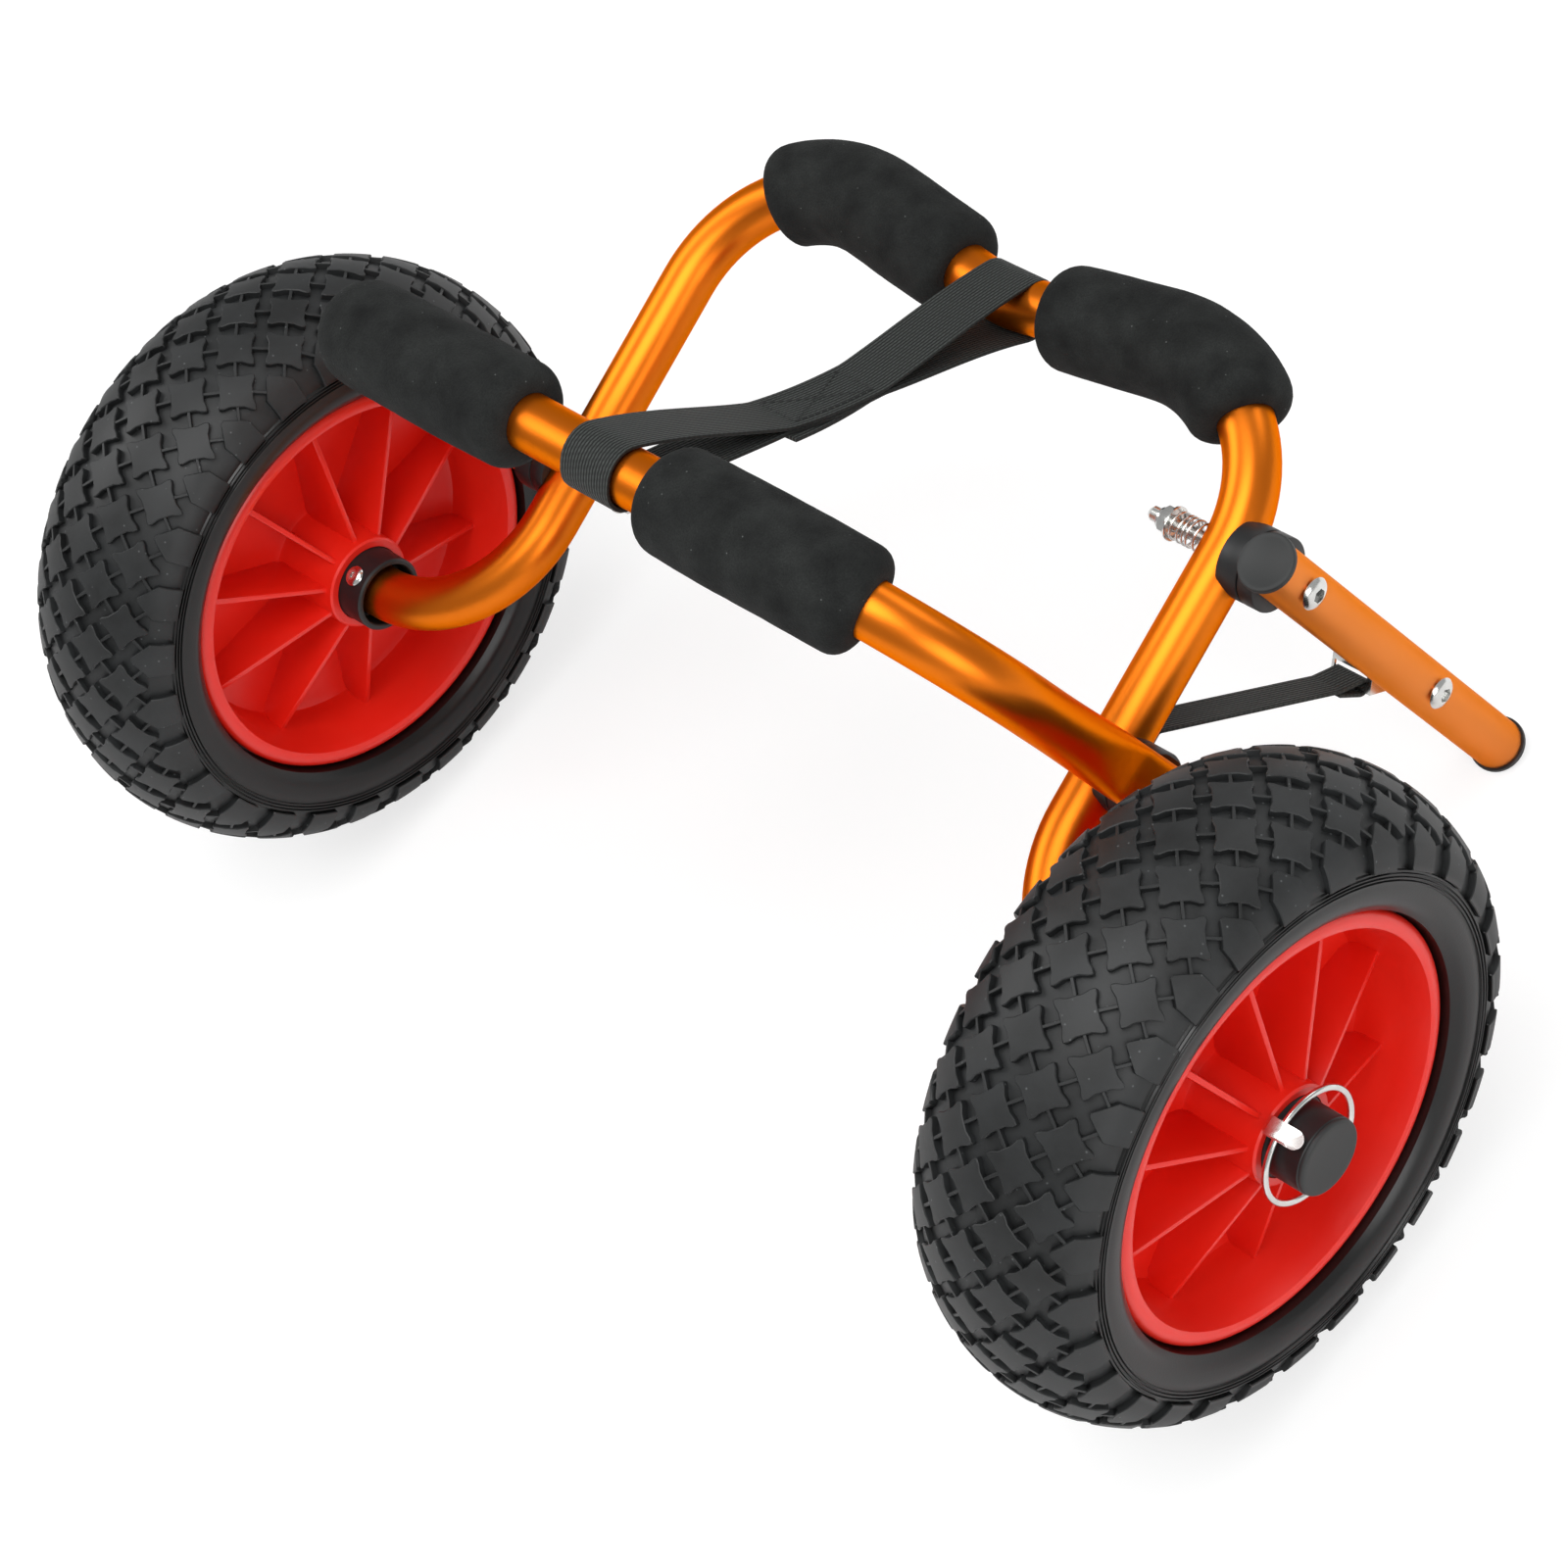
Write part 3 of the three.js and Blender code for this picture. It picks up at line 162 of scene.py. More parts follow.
class Shader:
    """A material under construction, with one method for each step that the finishes share.

    Sizes are in millimetres. Each step returns the socket that carries its result.
    """

    def __init__(self, name: str, mapping: Mapping = Mapping.OBJECT) -> None:
        """Makes the material with a bare node tree.

        Args:
            name: the material's name.
            mapping: where its places come from.
        """
        self.material = bpy.data.materials.new(name)
        self.material.use_nodes = True
        self.tree = self.material.node_tree
        self.tree.nodes.clear()
        kind, socket = mapping.value
        self.place = add_node(self.tree, kind).outputs[socket]
        self.unit = MM if mapping is Mapping.OBJECT else 1.0

    def noise(self, size: float, detail: float, roughness: float = 0.5,
              distortion: float = 0.0) -> Socket:
        """Adds a cloudy pattern.

        Args:
            size: the size of its patches.
            detail: how many finer layers it carries.
            roughness: how strong the finer layers are.
            distortion: how far it is swirled.

        Returns:
            The pattern, from 0 to 1.
        """
        return add_node(self.tree, "ShaderNodeTexNoise", {
            "Vector": self.place, "Scale": 1 / (size * self.unit), "Detail": detail,
            "Roughness": roughness, "Distortion": distortion}).outputs["Fac"]

    def cells(self, size: float) -> Socket:
        """Adds a pattern of round cells, as the distance from the nearest one's middle."""
        return add_node(self.tree, "ShaderNodeTexVoronoi", {
            "Vector": self.place, "Scale": 1 / (size * self.unit)}).outputs["Distance"]

    def remap(self, value: Socket, source: Span, target: Span) -> Socket:
        """Maps one range of values to another and holds it at the ends.

        Args:
            value: the value.
            source: its range.
            target: the range that it is mapped to.

        Returns:
            The mapped value.
        """
        return add_node(self.tree, "ShaderNodeMapRange", {
            "Value": value, "From Min": source[0], "From Max": source[1],
            "To Min": target[0], "To Max": target[1]}).outputs["Result"]

    def reckon(self, operation: str, *values: Socket | float) -> Socket:
        """Combines values by one operation of arithmetic."""
        return add_node(self.tree, "ShaderNodeMath", dict(enumerate(values)),
                        operation=operation).outputs[0]

    def mix(self, share: Socket, low: Socket | str, high: Socket | str) -> Socket:
        """Mixes two colours.

        Args:
            share: how much of the second one, from 0 to 1.
            low: the first colour, as a socket or a hex code.
            high: the second one.

        Returns:
            The mixed colour.
        """
        low, high = (linear(tint) if isinstance(tint, str) else tint for tint in (low, high))
        return add_node(self.tree, "ShaderNodeMix", {0: share, 6: low, 7: high},
                        data_type="RGBA").outputs[2]

    def bump(self, height: Socket, strength: float, depth: float,
             under: Socket | None = None) -> Socket:
        """Adds relief that only the light sees.

        Args:
            height: the pattern that is raised.
            strength: how strongly it shades.
            depth: how deep it is.
            under: the relief that it lies on, or None.

        Returns:
            The normal.
        """
        inputs = {"Height": height, "Strength": strength, "Distance": depth * MM}
        if under is not None:
            inputs["Normal"] = under
        return add_node(self.tree, "ShaderNodeBump", inputs).outputs["Normal"]

    def surface(self, inputs: dict) -> bpy.types.Material:
        """Ends the tree with a principled surface.

        Args:
            inputs: the surface's values and links.

        Returns:
            The finished material.
        """
        body = add_node(self.tree, "ShaderNodeBsdfPrincipled", inputs)
        add_node(self.tree, "ShaderNodeOutputMaterial", {"Surface": body.outputs["BSDF"]})
        return self.material


@dataclass(frozen=True)
class AnodisedAluminium:
    """Dyed and sealed aluminium tube: a metal whose reflections take the dye's colour.

    The bead-blasted skin spreads highlights along the tube, and grazing light keeps a tint of
    the dye.
    """

    name: str
    dye: str
    dye_deep: str
    roughness: float
    edge: str = "FFC08A"
    drift: float = 45.0
    smoother: float = 0.05
    duller: float = 0.06
    grain: float = 0.6
    grain_strength: float = 0.16
    grain_depth: float = 0.05

    def material(self) -> bpy.types.Material:
        """Builds the material: slow drift of the dye, fine blasted grain, tinted edge."""
        shader = Shader(self.name)
        slow, fine = shader.noise(self.drift, 3.0), shader.noise(self.grain, 2.0)
        polish = (self.roughness - self.smoother, self.roughness + self.duller)
        return shader.surface({
            "Base Color": shader.mix(slow, self.dye_deep, self.dye),
            "Roughness": shader.remap(slow, UNIT, polish), "Metallic": 1.0,
            "Specular Tint": linear(self.edge),
            "Normal": shader.bump(fine, self.grain_strength, self.grain_depth)})


@dataclass(frozen=True)
class MouldedPlastic:
    """Injection-moulded plastic: an even colour under a fine moulded texture and a soft sheen."""

    name: str
    colour: str
    colour_worn: str
    roughness: float
    texture: float
    relief: float
    coat: float = 0.0
    coat_roughness: float = 0.25
    flow: float = 38.0
    swirl: float = 0.6
    smoother: float = 0.06
    duller: float = 0.07
    relief_strength: float = 0.5
    ior: float = 1.49

    def material(self) -> bpy.types.Material:
        """Builds the material: spark-eroded texture, faint flow marks, rubbed spots."""
        shader = Shader(self.name)
        flow = shader.noise(self.flow, 4.0, distortion=self.swirl)
        skin = shader.noise(self.texture, 3.0, 0.6)
        polish = (self.roughness - self.smoother, self.roughness + self.duller)
        return shader.surface({
            "Base Color": shader.mix(flow, self.colour, self.colour_worn),
            "Roughness": shader.remap(flow, UNIT, polish), "IOR": self.ior,
            "Normal": shader.bump(skin, self.relief_strength, self.relief),
            "Coat Weight": self.coat, "Coat Roughness": self.coat_roughness})


@dataclass(frozen=True)
class ClosedCellFoam:
    """Closed-cell rubber foam: a matt black skin of tiny cells with a stray pale fleck of lint."""

    name: str = "closed_cell_foam"
    dark: str = "121313"
    pale: str = "2B2D2C"
    fleck: str = "6C6F6E"
    cell: float = 1.1
    grit: float = 0.6
    patch: float = 14.0
    tone_range: Span = (0.12, 0.42)
    fleck_spacing: float = 6.0
    fleck_edge: Span = (0.02, 0.06)
    fleck_share: float = 0.8
    pit_strength: float = 0.7
    grit_strength: float = 0.9
    relief: float = 0.22
    roughness: float = 0.95
    specular: float = 0.22

    def material(self) -> bpy.types.Material:
        """Builds the material: cell pits over an uneven skin, flecked here and there."""
        shader = Shader(self.name)
        cells = shader.cells(self.cell)
        grit = shader.noise(self.grit, 5.0, 0.7)
        patch = shader.noise(self.patch, 4.0)
        tone = shader.remap(shader.reckon("MULTIPLY", grit, patch), self.tone_range, UNIT)
        colour = shader.mix(tone, self.dark, self.pale)
        spots = shader.cells(self.fleck_spacing)
        lint = shader.remap(spots, self.fleck_edge, (self.fleck_share, 0.0))
        pits = shader.bump(cells, self.pit_strength, self.relief)
        return shader.surface({
            "Base Color": shader.mix(lint, colour, self.fleck), "Roughness": self.roughness,
            "Normal": shader.bump(grit, self.grit_strength, self.relief, pits),
            "Specular IOR Level": self.specular})


@dataclass(frozen=True)
class WovenWebbing:
    """Polyester webbing: fine ribs run along the strap, each one a row of slanting floats of yarn. Its colour
    carries painted shade: near black in the troughs between ribs and floats, paler on their crests.

    It reads the strip's own UV map, which is in millimetres along and across the strap.
    """

    name: str
    rib: float = 1.4
    float_length: float = 2.6
    slant: float = 0.5
    stagger: float = 0.5
    yarn_swing: float = 0.18
    crest_power: float = 2.2
    fuzz: float = 0.625
    fuzz_range: Span = (0.3, 0.7)
    wear: float = 0.55
    # dark is the painted shade in the troughs between ribs and floats; pale is the yarn on their crests
    dark: str = "020303"
    pale: str = "4D524F"
    relief: float = 0.5
    roughness: float = 0.7
    sheen: float = 0.04
    sheen_roughness: float = 0.4
    specular: float = 0.3

    def material(self) -> bpy.types.Material:
        """Builds the material: ribs times floats, staggered from rib to rib, as height and as painted shade, near
        black in the troughs and pale on the crests, dulled at random by wear.
        """
        shader = Shader(self.name, Mapping.UV)
        axes = add_node(shader.tree, "ShaderNodeSeparateXYZ", {"Vector": shader.place}).outputs
        count = shader.reckon("DIVIDE", axes["Y"], self.rib)
        wave = shader.reckon("SINE", shader.reckon("MULTIPLY", count, math.pi))
        crest = shader.reckon("POWER", shader.reckon("ABSOLUTE", wave), self.crest_power)
        lean = shader.reckon("MULTIPLY_ADD", axes["Y"], self.slant, axes["X"])
        along = shader.reckon("DIVIDE", lean, self.float_length)
        row = shader.reckon("FLOOR", count)
        staggered = shader.reckon("MULTIPLY_ADD", row, self.stagger, along)
        beat = shader.reckon("SINE", shader.reckon("MULTIPLY", staggered, 2 * math.pi))
        yarn = shader.reckon("MULTIPLY_ADD", beat, self.yarn_swing, 1 - self.yarn_swing)
        height = shader.reckon("MULTIPLY", crest, yarn)
        worn = shader.remap(shader.noise(self.fuzz, 4.0), self.fuzz_range, (self.wear, 1.0))
        # tone: painted shade from the relief height, dark in the troughs and pale on the crests, times random wear
        tone = shader.reckon("MULTIPLY", height, worn)
        return shader.surface({
            "Base Color": shader.mix(tone, self.dark, self.pale), "Roughness": self.roughness,
            "Normal": shader.bump(height, 1.0, self.relief), "Sheen Weight": self.sheen,
            "Sheen Roughness": self.sheen_roughness, "Specular IOR Level": self.specular})


@dataclass(frozen=True)
class TyreRubber:
    """Moulded black rubber: dull and greyed by bloom on the tread, black and glossy on the wall."""

    name: str = "moulded_tyre_rubber"
    dark: str = "101111"
    pale: str = "252728"
    nick: str = "5A5D5E"
    wall: str = "0A0B0B"
    wall_radius: float = 104.0
    wall_blend: float = 2.0
    wall_roughness: float = 0.3
    bloom: float = 24.0
    bloom_range: Span = (0.3, 0.72)
    polish: Span = (0.4, 0.62)
    nick_spacing: float = 5.0
    nick_edge: Span = (0.02, 0.1)
    grain: float = 0.9
    grain_strength: float = 0.35
    grain_depth: float = 0.08
    specular: float = 0.45

    def material(self, axle: Vector) -> bpy.types.Material:
        """Builds the material: bloom in patches, fine mould grain, small nicks, a polished wall.

        Args:
            axle: a point of the wheels' axis, in metres.

        Returns:
            The material.
        """
        shader = Shader(self.name)
        flat = add_node(shader.tree, "ShaderNodeVectorMath", {
            0: shader.place, 1: (0.0, 1.0, 1.0)}, operation="MULTIPLY")
        reach = add_node(shader.tree, "ShaderNodeVectorMath", {
            0: flat.outputs["Vector"], 1: (0.0, axle.y, axle.z)}, operation="DISTANCE")
        edge = (self.wall_radius * MM, (self.wall_radius + self.wall_blend) * MM)
        wall = shader.remap(reach.outputs["Value"], edge, (1.0, 0.0))
        bloom = shader.noise(self.bloom, 6.0, 0.62)
        tone = shader.remap(bloom, self.bloom_range, UNIT)
        nicks = shader.remap(shader.cells(self.nick_spacing), self.nick_edge, (1.0, 0.0))
        tread = shader.mix(nicks, shader.mix(tone, self.dark, self.pale), self.nick)
        polish = add_node(shader.tree, "ShaderNodeMix", {
            0: wall, 2: shader.remap(bloom, UNIT, self.polish), 3: self.wall_roughness})
        grain = shader.bump(shader.noise(self.grain, 3.0), self.grain_strength, self.grain_depth)
        return shader.surface({
            "Base Color": shader.mix(wall, tread, self.wall), "Roughness": polish.outputs[0],
            "Normal": grain, "Specular IOR Level": self.specular})


@dataclass(frozen=True)
class ZincSteel:
    """Bright zinc-plated steel: a pale cool metal with a fine drawn grain and small dull spots."""

    name: str = "zinc_plated_steel"
    colour: str = "EBEBE8"
    dull: str = "CCCDCB"
    drift: float = 4.0
    polish: Span = (0.28, 0.14)
    grain: float = 0.35
    grain_strength: float = 0.08
    grain_depth: float = 0.02

    def material(self) -> bpy.types.Material:
        """Builds the material: plating drift and drawn grain."""
        shader = Shader(self.name)
        drift, grain = shader.noise(self.drift, 4.0), shader.noise(self.grain, 2.0)
        return shader.surface({
            "Base Color": shader.mix(drift, self.dull, self.colour),
            "Roughness": shader.remap(drift, UNIT, self.polish), "Metallic": 1.0,
            "Normal": shader.bump(grain, self.grain_strength, self.grain_depth)})


@dataclass(frozen=True)
class Coat:
    """A finish as a piece wears it: its material and the record's slot."""

    material: bpy.types.Material
    slot: Slot


@dataclass
class Finishes:
    """Every finish of the cart, made once and shared by the pieces."""

    axle: Vector
    orange: Coat = field(init=False)
    stand: Coat = field(init=False)
    plastic: Coat = field(init=False)
    cap: Coat = field(init=False)
    red: Coat = field(init=False)
    foam: Coat = field(init=False)
    webbing: Coat = field(init=False)
    thread: Coat = field(init=False)
    rubber: Coat = field(init=False)
    zinc: Coat = field(init=False)

    def __post_init__(self) -> None:
        """Builds the materials. A moulded one's numbers are its roughness, grain and relief."""
        orange = AnodisedAluminium("orange_anodised_aluminium", "EC7E1F", "E0701A", 0.35)
        tan = AnodisedAluminium("tan_anodised_aluminium", "EE9658", "E28645", 0.4)
        nylon = MouldedPlastic("black_polyamide", "101112", "1D1F20", 0.45, 1.2, 0.05)
        cap = MouldedPlastic("grey_black_polyethylene", "1F2121", "2B2D2D", 0.55, 1.1, 0.05)
        red = MouldedPlastic("red_polypropylene", "E2190D", "E92816", 0.36, 1.6, 0.02, coat=0.15)
        thread = MouldedPlastic("black_nylon_thread", "101111", "1E2020", 0.55, 0.5, 0.05)
        self.orange = Coat(orange.material(), Slot.ORANGE)
        self.stand = Coat(tan.material(), Slot.STAND)
        self.plastic = Coat(nylon.material(), Slot.PLASTIC)
        self.cap = Coat(cap.material(), Slot.PLASTIC)
        self.red = Coat(red.material(), Slot.RED)
        self.foam = Coat(ClosedCellFoam().material(), Slot.FOAM)
        self.webbing = Coat(WovenWebbing("black_webbing").material(), Slot.WEBBING)
        self.thread = Coat(thread.material(), Slot.WEBBING)
        self.rubber = Coat(TyreRubber().material(self.axle), Slot.RUBBER)
        self.zinc = Coat(ZincSteel().material(), Slot.ZINC)


def shift(x: float = 0.0, y: float = 0.0, z: float = 0.0) -> Matrix:
    """A move along the three axes."""
    return Matrix.Translation((x, y, z))


def spin(angle: float, axis: str) -> Matrix:
    """A turn about one axis, in radians."""
    return Matrix.Rotation(angle, 4, axis)


def clamp(value: float) -> float:
    """Holds a value between 0 and 1."""
    return min(1.0, max(0.0, value))


def deselect() -> None:
    """Leaves nothing selected, so that an operator acts on the new piece alone."""
    bpy.ops.object.select_all(action="DESELECT")


def pick(*pieces: Piece) -> None:
    """Selects these pieces only, the first one active.

    Args:
        pieces: the pieces.
    """
    deselect()
    for piece in pieces:
        piece.select_set(True)
    bpy.context.view_layer.objects.active = pieces[0]


@contextmanager
def editing(piece: Piece) -> Iterator[None]:
    """Opens a piece in edit mode, all of it selected, and closes it again.

    Args:
        piece: the piece.

    Yields:
        Nothing, while the piece is open.
    """
    pick(piece)
    bpy.ops.object.mode_set(mode="EDIT")
    bpy.ops.mesh.select_mode(type="VERT")
    bpy.ops.mesh.select_all(action="SELECT")
    yield
    bpy.ops.object.mode_set(mode="OBJECT")


def named(piece: Piece, name: str) -> Piece:
    """Names a piece and its mesh alike."""
    piece.name = piece.data.name = name
    return piece


def modify(piece: Piece, kind: str, **settings: object) -> Piece:
    """Adds a modifier to a piece and applies it at once.

    Args:
        piece: the piece to change.
        kind: the modifier's type.
        settings: attributes of the modifier.

    Returns:
        The same piece.
    """
    pick(piece)
    modifier = piece.modifiers.new(kind.lower(), kind)
    for name, value in settings.items():
        setattr(modifier, name, value)
    bpy.ops.object.modifier_apply(modifier=modifier.name)
    return piece


def eased(piece: Piece, width: float, segments: int = 2,
          angle: float = ROUNDED_DEGREES) -> Piece:
    """Rounds a piece's hard edges.

    Args:
        piece: the piece.
        width: how wide the round is, in millimetres.
        segments: how many steps it has.
        angle: the least angle, in degrees, of an edge that is rounded.

    Returns:
        The same piece.
    """
    return modify(piece, "BEVEL", width=width, segments=segments, limit_method="ANGLE",
                  angle_limit=math.radians(angle), harden_normals=False)


def carve(piece: Piece, tool: Piece, cut: Cut = Cut.AWAY) -> Piece:
    """Acts on a piece with a tool's shape and removes the tool.

    Args:
        piece: the piece.
        tool: the tool.
        cut: whether the tool's shape is cut away, joined on, or all that is kept.

    Returns:
        The same piece.
    """
    modify(piece, "BOOLEAN", operation=cut.value, solver="EXACT", object=tool)
    bpy.data.objects.remove(tool)
    return piece


def joined(name: str, pieces: Sequence[Piece]) -> Piece:
    """Joins shaped parts that are one piece on the real cart.

    Args:
        name: the joined piece's name.
        pieces: the parts, of which the first one stays.

    Returns:
        The joined piece.
    """
    pick(*pieces)
    if len(pieces) > 1:
        bpy.ops.object.join()
    return named(bpy.context.object, name)


def duplicate(piece: Piece, name: str) -> Piece:
    """Copies a piece with a mesh of its own.

    Args:
        piece: the piece.
        name: the copy's name.

    Returns:
        The copy.
    """
    copy = piece.copy()
    copy.data = piece.data.copy()
    bpy.context.scene.collection.objects.link(copy)
    return named(copy, name)


def face_out(piece: Piece) -> Piece:
    """Turns a closed piece's faces outward.

    Args:
        piece: the piece.

    Returns:
        The same piece.
    """
    with editing(piece):
        bpy.ops.mesh.normals_make_consistent(inside=False)
    return piece


def moved(piece: Piece, matrix: Matrix) -> Piece:
    """Moves a piece's mesh, turning its faces back out after a mirror.

    Args:
        piece: the piece.
        matrix: where it goes.

    Returns:
        The same piece.
    """
    piece.data.transform(matrix)
    if matrix.determinant() < 0:
        piece.data.flip_normals()
    piece.data.update()
    return piece


def on_side(piece: Piece, side: Side) -> Piece:
    """Mirrors a right-hand piece when it serves the left side."""
    return moved(piece, Matrix.Scale(side.value, 4, Vector((1, 0, 0))))


def turned(name: str, profile: Profile, sides: int, ends: Ends = Ends.CAPPED) -> Piece:
    """Turns a piece about the X axis by extruding a circle along its profile.

    Args:
        name: the piece's name.
        profile: (place along X, radius) pairs in millimetres.
        sides: how many flats go round.
        ends: whether its ends are capped, open, or joined into a ring.

    Returns:
        The new piece at its drawing place.
    """
    deselect()
    x, radius = profile[0]
    bpy.ops.mesh.primitive_circle_add(vertices=sides, radius=radius)
    piece = moved(named(bpy.context.object, name), shift(x) @ spin(QUARTER, "Y"))
    with editing(piece):
        for next_x, next_radius in profile[1:]:
            bpy.ops.mesh.extrude_region_move(TRANSFORM_OT_translate={"value": (next_x - x, 0, 0)})
            share = next_radius / radius
            bpy.ops.transform.resize(value=(1, share, share), center_override=(next_x, 0, 0))
            x, radius = next_x, next_radius
        bpy.ops.mesh.select_all(action="DESELECT")
        if ends is not Ends.OPEN:
            bpy.ops.mesh.select_non_manifold()
        if ends is Ends.RING:
            bpy.ops.mesh.bridge_edge_loops()
        elif ends is Ends.CAPPED:
            bpy.ops.mesh.fill_holes(sides=0)
        bpy.ops.mesh.select_all(action="SELECT")
        bpy.ops.mesh.normals_make_consistent(inside=False)
    return piece


def wire(name: str, ends: Span, steps: int, radius: float, tip: Span, sides: int) -> Piece:
    """Draws a straight round wire along X with dressed tips, to be bent.

    Args:
        name: its name.
        ends: where its full section starts and ends.
        steps: how many steps it has between them.
        radius: its radius.
        tip: how far each tip stands out, and its radius.
        sides: how many flats go round.

    Returns:
        The wire.
    """
    start, end = ends
    body = [(start + (end - start) * k / steps, radius) for k in range(steps + 1)]
    return turned(name, [(start - tip[0], tip[1]), *body, (end + tip[0], tip[1])], sides)


def post(name: str, sides: int, radius: float, depth: float, place: Matrix) -> Piece:
    """Adds a cylinder, drawn upright on the origin, and moves it to its place.

    Args:
        name: its name.
        sides: how many flats go round.
        radius: its radius.
        depth: its height.
        place: where it goes.

    Returns:
        The cylinder.
    """
    deselect()
    bpy.ops.mesh.primitive_cylinder_add(vertices=sides, radius=radius, depth=depth)
    return moved(named(bpy.context.object, name), place)


def block(name: str, low: Sequence[float], high: Sequence[float]) -> Piece:
    """Adds a box between two corners, to be shaped further.

    Args:
        name: the piece's name.
        low: its lowest corner in millimetres.
        high: its highest corner.

    Returns:
        The box.
    """
    deselect()
    bpy.ops.mesh.primitive_cube_add(size=1)
    piece = named(bpy.context.object, name)
    size, middle = Vector(high) - Vector(low), (Vector(low) + Vector(high)) / 2
    return moved(piece, shift(*middle) @ Matrix.Diagonal((*size, 1)))


def strip(name: str, length: float, width: float, thickness: float,
          step: float) -> Piece:
    """Makes a flat strip of webbing along X, with its UV map in millimetres.

    Args:
        name: the piece's name.
        length: its length along X.
        width: its width along Y.
        thickness: its thickness along Z.
        step: how far apart its cross cuts lie.

    Returns:
        The strip, its start at the origin.
    """
    deselect()
    cuts = max(2, round(length / step))
    bpy.ops.mesh.primitive_grid_add(x_subdivisions=cuts, y_subdivisions=4, size=1, calc_uvs=True)
    piece = named(bpy.context.object, name)
    moved(piece, shift(length / 2) @ Matrix.Diagonal((length, width, 1, 1)))
    for loop in piece.data.uv_layers.active.data:
        loop.uv = (loop.uv.x * length, loop.uv.y * width)
    return modify(piece, "SOLIDIFY", thickness=thickness, offset=0.0, use_even_offset=True)


def wrap(piece: Piece, route: Route) -> Piece:
    """Lays a straight piece along a route, point by point.

    Args:
        piece: the piece, drawn along X.
        route: gives the place of each drawn point.

    Returns:
        The same piece.
    """
    for vertex in piece.data.vertices:
        vertex.co = route(vertex.co)
    piece.data.update()
    return piece


def plate(name: str, cells: tuple[int, int], shape: Route, depth: float,
          edge: float) -> Piece:
    """Makes a plate with eased edges: a grid that is shaped first and thickened after.

    Args:
        name: its name.
        cells: how many cells the grid has along X and Y, over -1 to 1 each.
        shape: gives the place of each grid point.
        depth: how far the plate reaches down from the grid.
        edge: how wide its edges are eased.

    Returns:
        The plate.
    """
    deselect()
    bpy.ops.mesh.primitive_grid_add(x_subdivisions=cells[0], y_subdivisions=cells[1], size=2)
    piece = wrap(named(bpy.context.object, name), shape)
    with editing(piece):
        bpy.ops.mesh.extrude_region_move(TRANSFORM_OT_translate={"value": (0, 0, -depth)})
    return eased(face_out(piece), edge, 1, CORNER_DEGREES)


def arc(centre: Span, radius: float, start: float, end: float, steps: int) -> list[Span]:
    """Points of an arc for a profile, with its angles in degrees."""
    angles = [math.radians(start + (end - start) * k / steps) for k in range(steps + 1)]
    return [(centre[0] + radius * math.cos(a), centre[1] + radius * math.sin(a)) for a in angles]


def finish(piece: Piece, place: Matrix, coat: Coat, replaces: Sequence[str] = (),
           body: str | None = None) -> Piece:
    """Seats a shaped piece in the frame, dresses it and hides the nodes that it stands for.

    Args:
        piece: the piece, in millimetres in its own drawing frame.
        place: where that drawing frame lies, in metres.
        coat: the piece's material and slot.
        replaces: the CAD nodes that it stands for.
        body: the body that it rides on, or None, where it is attached to no body.

    Returns:
        The finished piece.
    """
    moved(piece, place @ Matrix.Scale(MM, 4))
    piece.data.materials.clear()
    piece.data.materials.append(coat.material)
    pick(piece)
    bpy.ops.object.shade_smooth_by_angle(angle=SMOOTH_ANGLE)
    if replaces:
        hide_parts(*replaces)
    if body:
        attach(piece, body)
    log.info("%s: %d faces", piece.name, len(piece.data.polygons))
    return piece


def joint_place(name: str) -> Vector:
    """The place of a joint in the row frame, in metres."""
    return Vector(next(j["pos_m"] for j in frame["joints"] if j["name"] == name))


def linked(name: str, data: bpy.types.ID) -> Piece:
    """Puts a new light or camera in the scene.

    Args:
        name: its name.
        data: the light or the camera.

    Returns:
        Its object.
    """
    piece = bpy.data.objects.new(name, data)
    bpy.context.scene.collection.objects.link(piece)
    return piece


@dataclass
class Places:
    """Where the cart's own drawing frames lie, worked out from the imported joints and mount.

    In each one X is the cart's X and Z runs up the leg, so a piece is drawn upright.
    """

    opening: float = math.radians(88.75)
    axle: Vector = field(init=False)
    lean: float = field(init=False)
    rear: Matrix = field(init=False)
    front: Matrix = field(init=False)
    stand: Matrix = field(init=False)
    pivot_height: float = field(init=False)
    stand_height: float = field(init=False)

    def __post_init__(self) -> None:
        """Reads the joints and turns them to frames."""
        self.axle = joint_place("wheel_spin_right")
        self.axle.x = 0
        stand_pivot = joint_place("kickstand_swing")
        offset = stand_pivot - self.axle
        self.lean = math.atan2(offset.y, offset.z)
        self.rear = shift(*self.axle) @ spin(-self.lean, "X")
        fold = joint_place("frame_fold")
        self.pivot_height = (fold - self.axle).length / MM
        self.stand_height = Vector((0, offset.y, offset.z)).length / MM
        self.front = shift(*fold) @ spin(self.opening - self.lean, "X")
        foot = Vector(frame["record"]["mounts"][0]["axis"])
        tilt = math.atan2(foot.y, -foot.z)
        self.stand = shift(0, stand_pivot.y, stand_pivot.z) @ spin(tilt, "X")

    def wheel(self, side: Side) -> Matrix:
        """The frame of one wheel's centre."""
        return shift(*joint_place(f"wheel_spin_{side.word}"))


@dataclass
class Part:
    """A sub-assembly, with the cart's drawing frames and finishes at hand."""

    places: Places
    finishes: Finishes


@dataclass
class Run:
    """One straight run or round bend of a flat path."""

    start: Vector
    heading: Vector
    length: float
    turn: float = 0.0

    def at(self, distance: float) -> tuple[Vector, Vector]:
        """Follows the run.

        Args:
            distance: how far from the run's start.

        Returns:
            The place and the heading there.
        """
        if self.turn == 0:
            return self.start + self.heading * distance, self.heading
        radius = self.length / self.turn
        left = Vector((-self.heading.y, self.heading.x))
        centre = self.start + left * radius
        swing = Matrix.Rotation(distance / radius, 2)
        return centre - (swing @ left) * radius, swing @ self.heading


